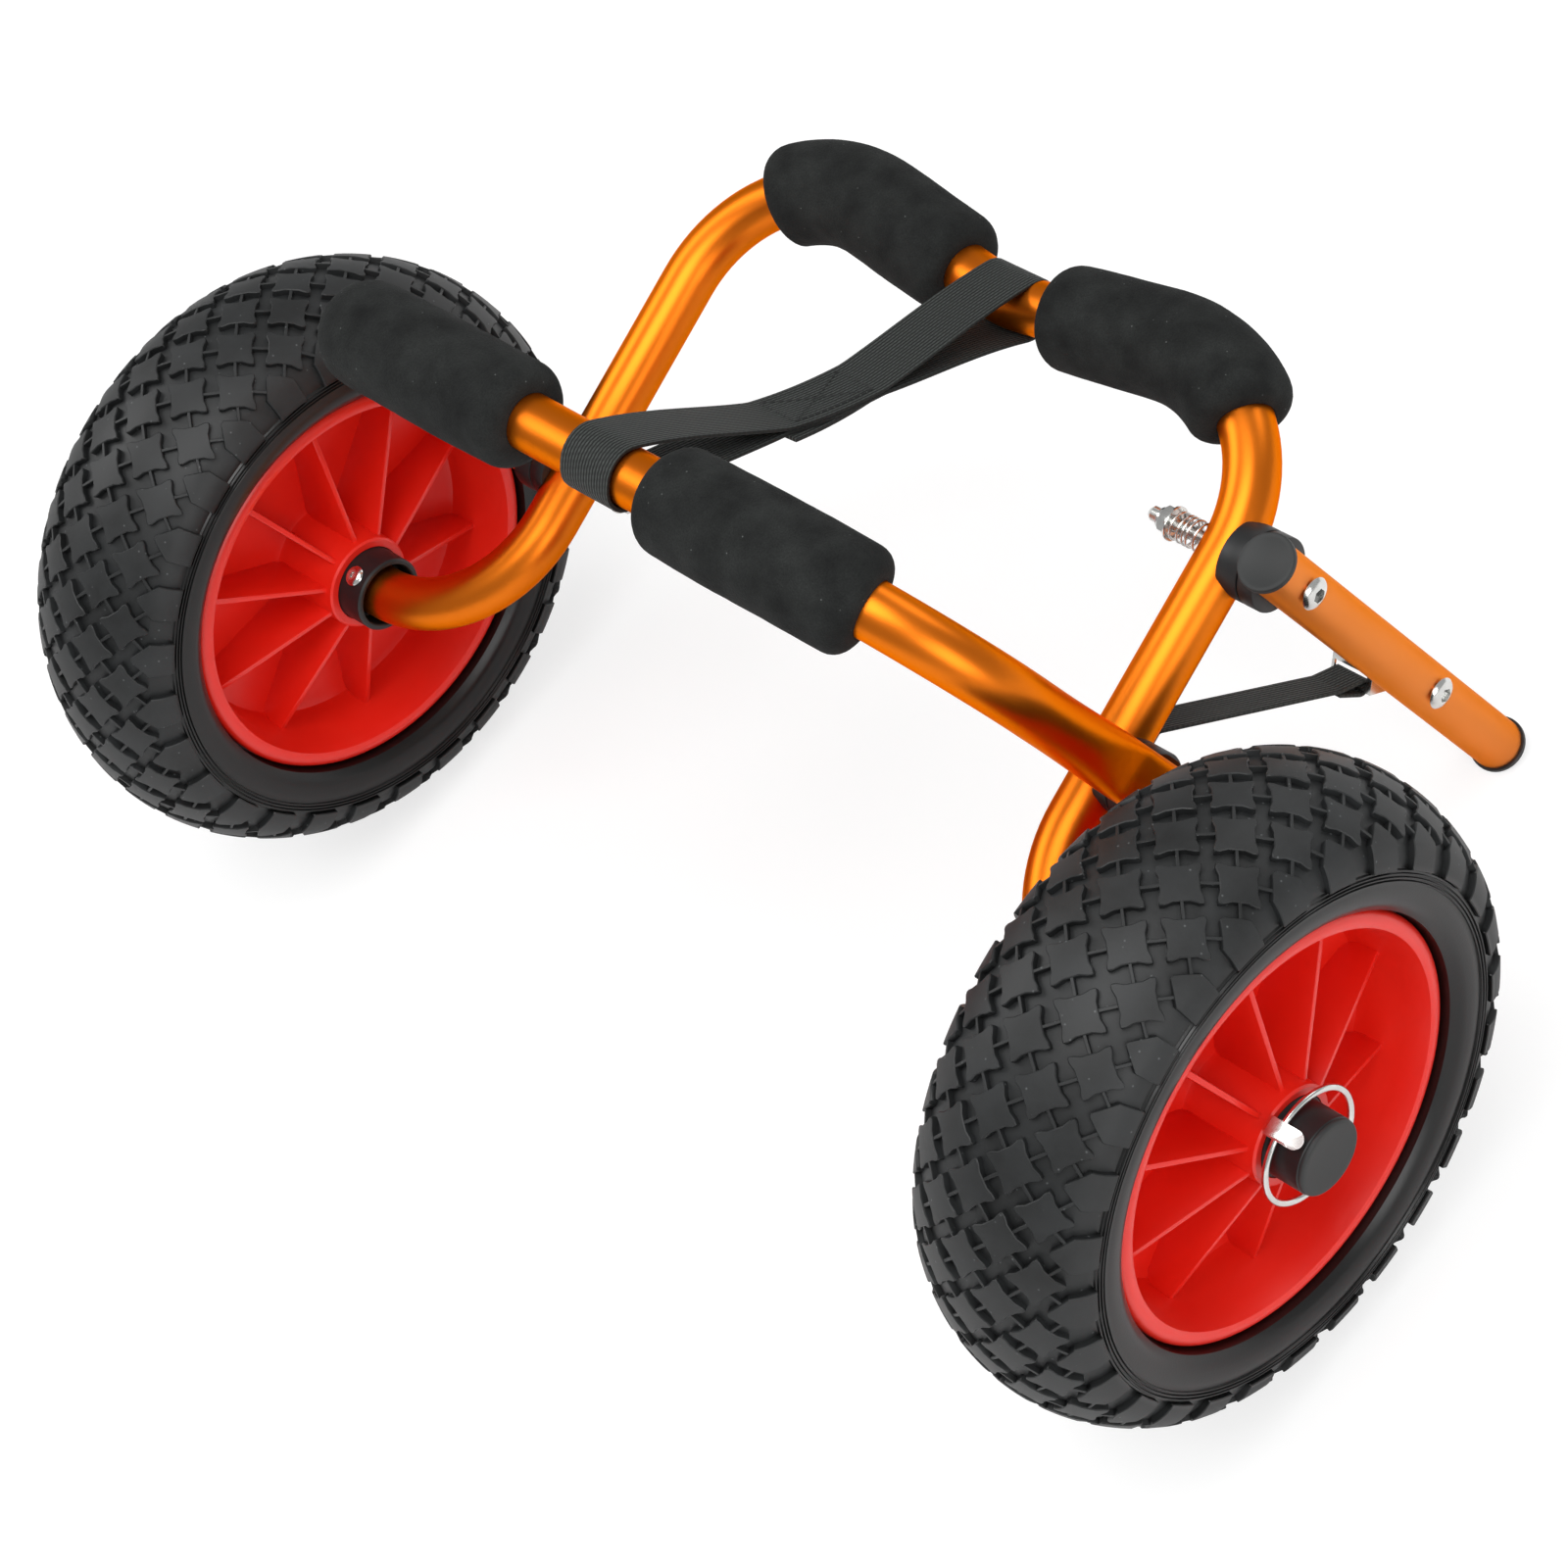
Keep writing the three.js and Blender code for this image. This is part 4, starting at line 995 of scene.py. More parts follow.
@dataclass
class BentPath:
    """A flat path with rounded corners, measured in millimetres from its middle."""

    corners: Sequence[Span]
    radii: Sequence[float]
    runs: list[Run] = field(default_factory=list)

    def __post_init__(self) -> None:
        """Lays the runs and bends one after another."""
        points = [Vector(corner) for corner in self.corners]
        start = points[0]
        for corner, after, radius in zip(points[1:], points[2:], self.radii):
            heading = (corner - start).normalized()
            onward = (after - corner).normalized()
            turn = math.atan2(heading.x * onward.y - heading.y * onward.x, heading.dot(onward))
            tangent = radius * math.tan(abs(turn) / 2)
            self.runs.append(Run(start, heading, (corner - start).length - tangent))
            bend = corner - heading * tangent
            self.runs.append(Run(bend, heading, radius * abs(turn), turn))
            start = corner + onward * tangent
        heading = (points[-1] - start).normalized()
        self.runs.append(Run(start, heading, (points[-1] - start).length))

    @property
    def length(self) -> float:
        """The path's whole length."""
        return sum(run.length for run in self.runs)

    def at(self, distance: float) -> tuple[Vector, Vector]:
        """Follows the path.

        Args:
            distance: how far from the path's middle, negative towards its start.

        Returns:
            The place and the heading there.
        """
        left = distance + self.length / 2
        for run in self.runs[:-1]:
            if left <= run.length:
                return run.at(left)
            left -= run.length
        return self.runs[-1].at(left)

    def stations(self, step: float, straight_step: float) -> list[float]:
        """Distances where a tube needs a ring: close in the bends, wide apart on the straights.

        Args:
            step: the spacing in a bend.
            straight_step: the spacing on a straight run.

        Returns:
            The distances from the path's middle, in order, from end to end.
        """
        end, found = self.length / 2, []
        place = -end
        for run in self.runs:
            count = max(1, round(run.length / (step if run.turn else straight_step)))
            found += [place + run.length * k / count for k in range(count + 1)]
            place += run.length
        margin = 0.5
        return [-end, *sorted({round(d, 4) for d in found if abs(d) < end - margin}), end]

    def upright(self, co: Vector) -> Vector:
        """Lays a drawn point in the X-Z plane: X along the path, Y out of it, Z to its left."""
        place, heading = self.at(co.x)
        return Vector((place.x - heading.y * co.z, co.y, place.y + heading.x * co.z))

    def along(self, co: Vector) -> tuple[Vector, Vector]:
        """Lays a point of a flat strip, measured from the path's start.

        Args:
            co: the drawn point: X along the strip, Z through its thickness.

        Returns:
            The path's own place there, and the laid point.
        """
        spot, heading = self.at(co.x - self.length / 2)
        return spot, spot + Vector((-heading.y, heading.x)) * co.z


@dataclass(frozen=True)
class Softbox:
    """One soft light that looks at the cart: place and size in metres, power in watts."""

    name: str
    place: Spot
    size: Span
    power: float
    target: Spot = (0.0, 0.0, 0.15)

    def add(self) -> None:
        """Adds the light to the scene."""
        data = bpy.data.lights.new(self.name, "AREA")
        data.shape = "RECTANGLE"
        data.size, data.size_y = self.size
        data.energy = self.power
        light = linked(self.name, data)
        light.location = self.place
        aim = Vector(self.target) - Vector(self.place)
        light.rotation_mode = "QUATERNION"
        light.rotation_quaternion = aim.to_track_quat("-Z", "Y")


@dataclass
class Studio:
    """Pale floor, soft lights and the camera, which stands as it did for the photograph."""

    places: Places
    right: Spot = (0.69326, 0.72069, 0.0)
    up: Spot = (-0.40917, 0.3936, 0.8232)
    back: Spot = (0.59328, -0.57069, 0.56775)
    eye: Spot = (1.0373, -0.966, 0.9831)
    photo_lean: float = math.radians(43.45)
    focal: float = 102.6
    sensor: float = 36.0
    clip: Span = (0.05, 40.0)
    floor_size: float = 9.0
    fade: Span = (0.6, 1.6)
    paper: str = "F4F4F4"
    near_glow: float = 0.62
    glow: float = 1.14
    room: float = 0.42
    lights: tuple[Softbox, ...] = (
        Softbox("key_softbox", (0.35, -0.45, 2.3), (1.5, 1.5), 31.0),
        Softbox("left_softbox", (-1.7, -0.6, 1.5), (1.2, 1.2), 16.0),
        Softbox("side_softbox", (2.0, -0.5, 1.0), (1.2, 1.2), 15.0),
        Softbox("back_softbox", (0.2, 2.0, 1.5), (1.6, 0.9), 8.0),
    )

    def camera(self) -> None:
        """Adds the camera. The photograph shows the cart tipped from where its stand rests."""
        tip = self.places.lean - self.photo_lean
        level = Matrix((self.right, self.up, self.back)).transposed().to_4x4()
        data = bpy.data.cameras.new("photo_camera")
        data.lens, data.sensor_width = self.focal, self.sensor
        data.clip_start, data.clip_end = self.clip
        camera = linked("photo_camera", data)
        camera.matrix_world = shift(*self.places.axle) @ spin(-tip, "X") @ shift(*self.eye) @ level
        bpy.context.scene.camera = camera

    def floor(self) -> None:
        """Adds the floor: near white to the camera, with the cart's shadow, fading to white."""
        deselect()
        bpy.ops.mesh.primitive_plane_add(size=self.floor_size)
        floor = named(bpy.context.object, "studio_floor")
        shader = Shader("studio_paper")
        seen = add_node(shader.tree, "ShaderNodeLightPath").outputs["Is Camera Ray"]
        reach = add_node(shader.tree, "ShaderNodeVectorMath", {0: shader.place}, operation="LENGTH")
        fade = shader.remap(reach.outputs["Value"], self.fade, (self.near_glow, 1.0))
        paper = add_node(shader.tree, "ShaderNodeBsdfDiffuse", {
            "Color": linear(self.paper), "Roughness": 0.6})
        glow = add_node(shader.tree, "ShaderNodeEmission", {
            "Color": linear("FFFFFF"), "Strength": self.glow})
        both = add_node(shader.tree, "ShaderNodeMixShader", {
            0: shader.reckon("MULTIPLY", seen, fade), 1: paper.outputs[0], 2: glow.outputs[0]})
        add_node(shader.tree, "ShaderNodeOutputMaterial", {"Surface": both.outputs[0]})
        floor.data.materials.append(shader.material)

    def world(self) -> None:
        """Lights the room evenly, and shows a white backdrop to the camera."""
        world = bpy.data.worlds.new("studio_room")
        world.use_nodes = True
        tree = world.node_tree
        tree.nodes.clear()
        seen = add_node(tree, "ShaderNodeLightPath").outputs["Is Camera Ray"]
        room, backdrop = (add_node(tree, "ShaderNodeBackground", {
            "Color": linear("FFFFFF"), "Strength": power}).outputs[0] for power in (self.room, 1.0))
        both = add_node(tree, "ShaderNodeMixShader", {0: seen, 1: room, 2: backdrop})
        add_node(tree, "ShaderNodeOutputWorld", {"Surface": both.outputs[0]})
        bpy.context.scene.world = world

    def build(self) -> None:
        """Sets the whole studio up."""
        self.camera()
        self.floor()
        self.world()
        for light in self.lights:
            light.add()
        bpy.context.scene.view_settings.view_transform = "Standard"


@dataclass
class TyreSection:
    """The tyre's outline across the tread, as three arcs measured from the crown."""

    radius: float = 127.5
    crown: float = 58.0
    shoulder: float = 20.57
    wall: float = 19.55
    crown_end: float = 34.0
    shoulder_end: float = 90.0

    def at(self, across: float, lift: float) -> tuple[float, float]:
        """The place along X and the radius of a point at a distance across the tread.

        Args:
            across: the distance from the crown along the surface, negative to the left.
            lift: how far it stands off the surface.

        Returns:
            The place along X and the radius.
        """
        left = abs(across)
        x, radius, angle = 0.0, self.radius, 0.0
        arcs = ((self.crown, self.crown_end), (self.shoulder, self.shoulder_end),
                (self.wall, 180.0))
        for bend, end in arcs:
            room = bend * math.radians(end) - bend * angle
            step = min(left, room) / bend
            x += bend * (math.sin(angle + step) - math.sin(angle))
            radius -= bend * (math.cos(angle) - math.cos(angle + step))
            angle += step
            left -= min(left, room)
        x += lift * math.sin(angle)
        radius += lift * math.cos(angle)
        return math.copysign(x, across), radius

    @property
    def shoulder_reach(self) -> float:
        """The distance from the crown to the wall's widest point."""
        return self.crown * math.radians(self.crown_end) + self.shoulder * math.radians(
            self.shoulder_end - self.crown_end)


@dataclass
class Tyre(Part):
    """Puncture-proof tyre: staggered square blocks tied by short bars, lugs on both shoulders."""

    pitches: int = 28
    depth: float = 2.7
    sink: float = 0.4
    square_half: float = 6.85
    square_ear: float = 0.95
    ear_start: float = 0.42
    ear_full: float = 0.78
    bar_width: float = 1.3
    bar_drop: float = 0.4
    rows: int = 2
    lug_start: float = 32.8
    lug_corner: float = 40.2
    lug_end: float = 51.2
    lug_half: float = 8.2
    lug_tip: float = 0.8
    lug_sink: float = 0.3
    lug_thinning: float = 0.2
    edge: float = 0.35
    wall_drop: float = 2.0
    wall_reach: float = 15.5
    wall_rise: float = 5.0
    step_half: float = 0.3
    rings: int = 3
    ring_start: float = 1.6
    ring_pitch: float = 1.5
    ring_lift: float = 0.7
    ring_foot: float = 0.55
    ring_top: float = 0.2
    ring_end: float = 1.0
    seat_half: float = 26.0
    bore: float = 79.2
    bead: float = 85.8
    bead_width: float = 2.5
    carcass_steps: int = 224
    section: TyreSection = field(default_factory=TyreSection)

    @property
    def pitch(self) -> float:
        """The length of one pattern repeat round the crown."""
        return 2 * math.pi * self.section.radius / self.pitches

    def round_wheel(self, co: Vector) -> Vector:
        """Rolls a point of the flat tread sheet onto the tyre.

        Args:
            co: the point, drawn as (round, across, up).

        Returns:
            Its place on the wheel.
        """
        x, radius = self.section.at(co.y, co.z)
        angle = co.x / self.section.radius
        return Vector((x, radius * math.sin(angle), -radius * math.cos(angle)))

    def tread_square(self) -> Piece:
        """One square block, its sides drawn in between four ears and its foot in the carcass."""
        spots = [-1, -self.ear_full, -self.ear_start, 0, self.ear_start, self.ear_full, 1]

        def ear(along: float, across: float) -> float:
            """How far the edge stands out where it nears a corner."""
            near = (abs(across) - self.ear_start) / (self.ear_full - self.ear_start)
            return self.square_ear * clamp(near) * along ** 3

        def shape(co: Vector) -> Vector:
            """Spreads the grid and pulls the middle of each side in."""
            u, v = (spots[round((place + 1) * 3)] for place in (co.x, co.y))
            return Vector((u * self.square_half + ear(u, v), v * self.square_half + ear(v, u), 0))

        square = plate("tread_square", (6, 6), shape, self.depth + self.sink, self.edge)
        return moved(square, spin(math.pi / 4, "Z"))

    def tie_bar(self) -> Piece:
        """The short bar that ties two neighbouring squares, drawn along X."""
        reach, half = self.pitch / math.sqrt(8) - self.square_half + self.edge, self.bar_width / 2
        low, high = (-reach, -half, -self.depth - self.sink), (reach, half, -self.bar_drop)
        return eased(block("tie_bar", low, high), self.edge / 2, 1, CORNER_DEGREES)

    def shoulder_lug(self) -> Piece:
        """One shoulder lug: a pointed tongue between the squares that widens and runs down."""
        tongue, body = self.lug_corner - self.lug_start, self.lug_end - self.lug_corner
        spots = [self.lug_start, self.lug_start + tongue / 2]
        spots += [self.lug_corner + body * k / 6 for k in range(7)]

        def shape(co: Vector) -> Vector:
            """Widens the tongue to the lug and thins it towards the wall.

            Args:
                co: a grid point.

            Returns:
                Its place on the flat tread sheet.
            """
            across = spots[round((co.y + 1) * 4)]
            share = clamp((across - self.lug_start) / tongue)
            half = self.lug_tip + (self.lug_half - self.lug_tip) * share
            sunk = clamp((across - self.lug_corner) / body)
            return Vector((co.x * half, across, -self.lug_thinning * sunk))

        return plate("shoulder_lug", (4, 8), shape, self.depth + self.lug_sink, self.edge)

    def tread_sheet(self) -> Piece:
        """Lays one pitch of squares, bars and lugs out flat and repeats it round the tyre."""
        pitch, rows, parts = self.pitch, self.rows, []
        square, bar, lug = self.tread_square(), self.tie_bar(), self.shoulder_lug()
        for row in range(-rows, rows + 1):
            place = shift(pitch / 2 if row % 2 else 0, row * pitch / 2)
            parts.append(moved(duplicate(square, "square"), place))
        for row in range(-rows - 1, rows + 1):
            for lean in (-1, 1):
                along = pitch / 4 if lean == (-1 if row % 2 else 1) else -pitch / 4
                place = shift(along, (row + 0.5) * pitch / 2) @ spin(lean * math.pi / 4, "Z")
                parts.append(moved(duplicate(bar, "bar"), place))
        for sign in (-1, 1):
            copy = moved(duplicate(lug, "lug"), Matrix.Scale(sign, 4, Vector((0, 1, 0))))
            parts.append(moved(copy, shift(pitch / 2)))
        for drawn in (square, bar, lug):
            bpy.data.objects.remove(drawn)
        return modify(joined("tread_sheet", parts), "ARRAY", count=self.pitches,
                      use_relative_offset=False, use_constant_offset=True,
                      constant_offset_displace=(pitch, 0, 0))

    def carcass(self) -> Piece:
        """The body under the tread: sunk between the lugs, full on the wall, with fine rings."""
        low, high = -self.wall_drop, self.ring_lift - self.wall_drop
        foot, top = self.ring_foot, self.ring_top
        rings = [self.lug_end + self.ring_start + self.ring_pitch * k for k in range(self.rings)]
        start, end = rings[-1] + self.ring_end, self.section.shoulder_reach + self.wall_reach
        half = [(self.lug_end * k / 18, -self.depth) for k in range(18)]
        half += [(self.lug_end - self.step_half, -self.depth), (self.lug_end + self.step_half, low)]
        for ring in rings:
            half += [(ring - foot, low), (ring - top, high), (ring + top, high), (ring + foot, low)]
        half += [(start + (end - start) * k / 8, low * (1 - clamp(k / self.wall_rise)))
                 for k in range(9)]
        right = [self.section.at(across, lift) for across, lift in half]
        right += [(self.seat_half + self.bead_width, self.bead), (self.seat_half, self.bead),
                  (self.seat_half, self.bore)]
        left = [(-x, radius) for x, radius in reversed(right[1:])]
        return turned("carcass", left + right, self.carcass_steps, Ends.RING)

    def build(self, side: Side) -> None:
        """Makes the tyre and hands it to its wheel.

        Args:
            side: the cart's side.
        """
        word = side.word
        tread = wrap(self.tread_sheet(), self.round_wheel)
        tyre = joined(f"moulded_tyre_{word}", [self.carcass(), tread])
        place = self.places.wheel(side)
        finish(tyre, place, self.finishes.rubber, [f"tyre_{word}"], f"wheel_{word}")


@dataclass
class Rim(Part):
    """One-piece moulded rim: hub, web and barrel with ten thin ribs on each face."""

    hub_half: float = 36.5
    hub_radius: float = 20.0
    hub_fillet: float = 4.0
    bore: float = 16.4
    edge: float = 0.8
    web_half: float = 3.0
    barrel: float = 74.5
    barrel_fillet: float = 5.0
    barrel_draft: float = 1.2
    barrel_outer: float = 78.6
    seat_half: float = 26.3
    width_half: float = 33.5
    flange: float = 85.3
    lip: float = 4.2
    lip_start: float = 9.0
    lip_flatness: float = 0.8
    ribs: int = 10
    rib_half: float = 1.5
    rib_root: float = 1.5
    rib_edge: float = 0.35
    rib_draft: float = 0.35
    rib_hub_height: float = 33.5
    rib_rim_height: float = 15.5
    rib_phase: float = math.radians(18.4)

    def body(self) -> Piece:
        """The turned body, from hub to rolled lip."""
        hub, web, foot, root = self.hub_radius, self.web_half, self.hub_fillet, self.barrel_fillet
        flat, width = self.lip_flatness, self.width_half
        lip = arc((width - self.lip * flat, self.flange - self.lip), self.lip, 90, -35, 9)
        half = [
            (self.hub_half, self.bore), (self.hub_half, hub - self.edge),
            (self.hub_half - self.edge, hub), (web + foot * 0.75, hub + foot * 0.2),
            (web + foot * 0.2, hub + foot * 0.45), (web, hub + foot), (web, self.barrel - root),
            (web + root * 0.24, self.barrel - root * 0.32), (web + root * 0.9, self.barrel),
            (width - self.lip_start, self.barrel + self.barrel_draft),
            *[(width - (width - x) * flat, radius) for x, radius in reversed(lip)],
            (self.seat_half, self.flange), (self.seat_half, self.barrel_outer),
        ]
        mirrored = [(-x, radius) for x, radius in reversed(half)]
        return turned("rim_body", half + mirrored, 96, Ends.RING)

    def rib(self) -> Piece:
        """One rib: a drafted plate cut to the slope from the hub's end down to the barrel."""
        inner, outer = self.hub_radius - self.rib_root, self.barrel + self.rib_root
        slab = block("rib", (0, -self.rib_half, inner), (self.hub_half, self.rib_half, outer))
        rise = self.rib_hub_height - self.rib_rim_height
        slope = Vector((outer - inner, 0, rise)).normalized()
        with editing(slab):
            bpy.ops.mesh.bisect(plane_co=(self.rib_hub_height, 0, inner), plane_no=slope,
                                use_fill=True, clear_outer=True)

        def thin(co: Vector) -> Vector:
            """Narrows the rib towards its free edge, as the mould's draft does."""
            share = 1 - self.rib_draft * min(1.0, co.x / self.rib_hub_height)
            return Vector((co.x, co.y * share, co.z))

        return eased(wrap(face_out(slab), thin), self.rib_edge, 2, 30)

    def build(self, side: Side) -> None:
        """Makes the rim and hands it to its wheel.

        Args:
            side: the cart's side.
        """
        word, parts = side.word, [self.body()]
        drawn = self.rib()
        for face in (-1, 1):
            for k in range(self.ribs):
                turn = math.pi + self.rib_phase + 2 * math.pi * k / self.ribs
                place = spin(turn, "X") @ Matrix.Scale(face, 4, Vector((1, 0, 0)))
                parts.append(moved(duplicate(drawn, "rib_copy"), place))
        bpy.data.objects.remove(drawn)
        rim = on_side(joined(f"ribbed_rim_{word}", parts), side)
        finish(rim, self.places.wheel(side), self.finishes.red, [f"rim_{word}"], f"wheel_{word}")


@dataclass
class AxleEnd(Part):
    """The end of one axle stub: sleeve, cap, rivet, lock pin and its ring."""

    sleeve_radius: float = 16.0
    inner_end: float = 202.0
    outer_end: float = 303.5
    nose_start: float = 288.0
    nose_radius: float = 15.2
    edge: float = 0.8
    nose_edge: float = 0.6
    mouth: float = 13.5
    mouth_edge: float = 0.5
    mouth_depth: float = 12.0
    mouth_taper: float = 1.5
    bore: float = 11.3
    cap_gap: float = 0.15
    cap_thickness: float = 1.6
    cap_round: float = 1.2
    cap_inset: float = 0.2
    plug_gap: float = 0.4
    plug_length: float = 2.0
    rivet_inset: float = 7.0
    rivet_radius: float = 4.3
    rivet_height: float = 1.8
    rivet_shank: float = 2.2
    rivet_grip: float = 4.0
    rivet_seat: float = 0.2
    pin_inset: float = 5.5
    pin_radius: float = 3.0
    pin_reach: float = 19.0
    tab_seat: float = 19.2
    tab_length: float = 14.0
    tab_width: float = 7.2
    tab_thickness: float = 1.6
    tab_tilt: float = math.radians(18)
    tab_lip: float = 1.2
    tab_lip_drop: float = 2.6
    tab_lip_sink: float = 0.4
    tab_edge: float = 0.3
    ring_radius: float = 22.7
    ring_wire: float = 1.3
    ring_gap: float = 0.5
    ring_tip: float = 0.15
    ring_inset: float = 11.0
    ring_lift: float = 1.7

    def sleeve(self) -> Piece:
        """The plastic bush over the tube's end, its mouth flared and its edges rounded."""
        inner, outer, edge = self.inner_end, self.outer_end, self.edge
        step = inner + self.mouth_depth
        return turned("sleeve", [
            (inner + self.mouth_edge, self.mouth), (inner, self.mouth + self.mouth_edge),
            (inner, self.sleeve_radius - edge), (inner + edge, self.sleeve_radius),
            (self.nose_start, self.sleeve_radius), (self.nose_start + edge, self.nose_radius),
            (outer - self.nose_edge, self.nose_radius), (outer, self.nose_radius - self.nose_edge),
            (outer, self.bore), (step, self.bore), (step - self.mouth_taper, self.mouth),
        ], 56, Ends.RING)

    def cap(self) -> Piece:
        """The pressed-in end cap with its soft rounded face."""
        seat = self.outer_end + self.cap_gap
        face, outer = seat + self.cap_thickness, self.nose_radius - self.cap_inset
        plug, low = self.bore - self.plug_gap, seat - self.plug_length
        rim = arc((face - self.cap_round, outer - self.cap_round), self.cap_round, 90, 0, 4)
        dish = [(face - 0.15, self.nose_radius - 3.5), (face - 0.25, 3.0)]
        return turned("cap", [(low, plug), (seat, plug), (seat, outer), *rim, *dish], 56)

    def rivet(self, seat: float, along: float, turn: float) -> Piece:
        """A round-head rivet with a hollow eye, its head at a seat radius from the tube's axis.

        Args:
            seat: how far from the axis its head sits.
            along: its place along X.
            turn: the angle about X that its head faces.

        Returns:
            The rivet in the rear frame's drawing place.
        """
        top, head = seat + self.rivet_height, self.rivet_radius
        shank = [(seat - self.rivet_grip, self.rivet_shank), (seat, self.rivet_shank),
                 (seat, head - 0.3), (seat + 0.4, head)]
        dome = [(seat + 1.0, head * 0.9), (top - 0.25, head * 0.66), (top, head * 0.42)]
        eye = [(top - 0.1, 1.3), (top - 1.0, 1.0), (top - 1.1, 0.4)]
        piece = turned("rivet", shank + dome + eye, 28)
        return moved(piece, shift(along) @ spin(turn, "X") @ spin(-QUARTER, "Y"))

    def pin(self) -> Piece:
        """The lock pin: a chamfered shaft and a pressed tab with a turned-down lip."""
        seat, end, radius = -self.tab_seat, self.pin_reach, self.pin_radius
        shaft = turned("shaft", [
            (seat, radius), (end - 1, radius), (end - 0.3, radius - 0.7), (end, radius - 1.4)], 28)
        moved(shaft, shift(self.outer_end - self.pin_inset) @ spin(QUARTER, "Z"))
        half, top = self.tab_width / 2, seat - self.tab_thickness
        inner, hinge = self.outer_end - self.tab_length, self.outer_end - half
        tab = block("tab", (inner, top, -half), (hinge, seat, half))
        place = shift(hinge, (top + seat) / 2) @ spin(QUARTER, "X")
        carve(tab, post("nose", 32, half, self.tab_thickness, place), Cut.JOIN)
        lip_end = (inner + self.tab_lip, top + self.tab_thickness + self.tab_lip_drop, half)
        carve(tab, block("lip", (inner, top + self.tab_lip_sink, -half), lip_end), Cut.JOIN)
        tilt = shift(hinge, seat) @ spin(self.tab_tilt, "Z") @ shift(-hinge, -seat)
        return joined("pin", [moved(eased(tab, self.tab_edge), tilt), shaft])

    def ring(self) -> Piece:
        """The pin's ring: round wire bent to a hoop, its ends butted under the tab."""
        length, gap = 2 * math.pi * self.ring_radius, self.ring_gap
        straight = wire("ring", (gap / 2, length - gap / 2), 72, self.ring_wire,
                        (self.ring_tip, self.ring_wire * 0.75), 16)
        pivot = self.sleeve_radius + self.ring_lift

        def hoop(co: Vector) -> Vector:
            """Bends the wire round, starting at the tab.

            Args:
                co: a point of the straight wire.

            Returns:
                Its place on the hoop.
            """
            angle, radius = co.x / self.ring_radius, self.ring_radius + co.z
            return Vector((self.outer_end - self.ring_inset + co.y,
                           self.ring_radius - pivot - radius * math.cos(angle),
                           radius * math.sin(angle)))

        return wrap(straight, hoop)

    def build(self, side: Side) -> None:
        """Makes the parts of one axle end and seats them.

        Args:
            side: the cart's side.
        """
        look, seat = self.finishes, self.sleeve_radius + self.rivet_seat
        along = self.inner_end + self.rivet_inset
        parts = (
            (self.sleeve(), "bush", look.plastic, "axle_sleeve", ""),
            (self.cap(), "end_cap", look.cap, "sleeve_cap", ""),
            (self.rivet(seat, along, QUARTER), "bush_rivet", look.zinc, "sleeve_rivet", ""),
            (self.pin(), "ring_pull_pin", look.zinc, "lock_pin", "lock_pin"),
            (self.ring(), "pull_ring", look.zinc, "pin_ring", "pin_ring"),
        )
        for piece, name, coat, node, body in parts:
            named(piece, f"{name}_{side.word}")
            rider = f"{body}_{side.word}" if body else "axle_frame"
            finish(on_side(piece, side), self.places.rear, coat, [f"{node}_{side.word}"], rider)


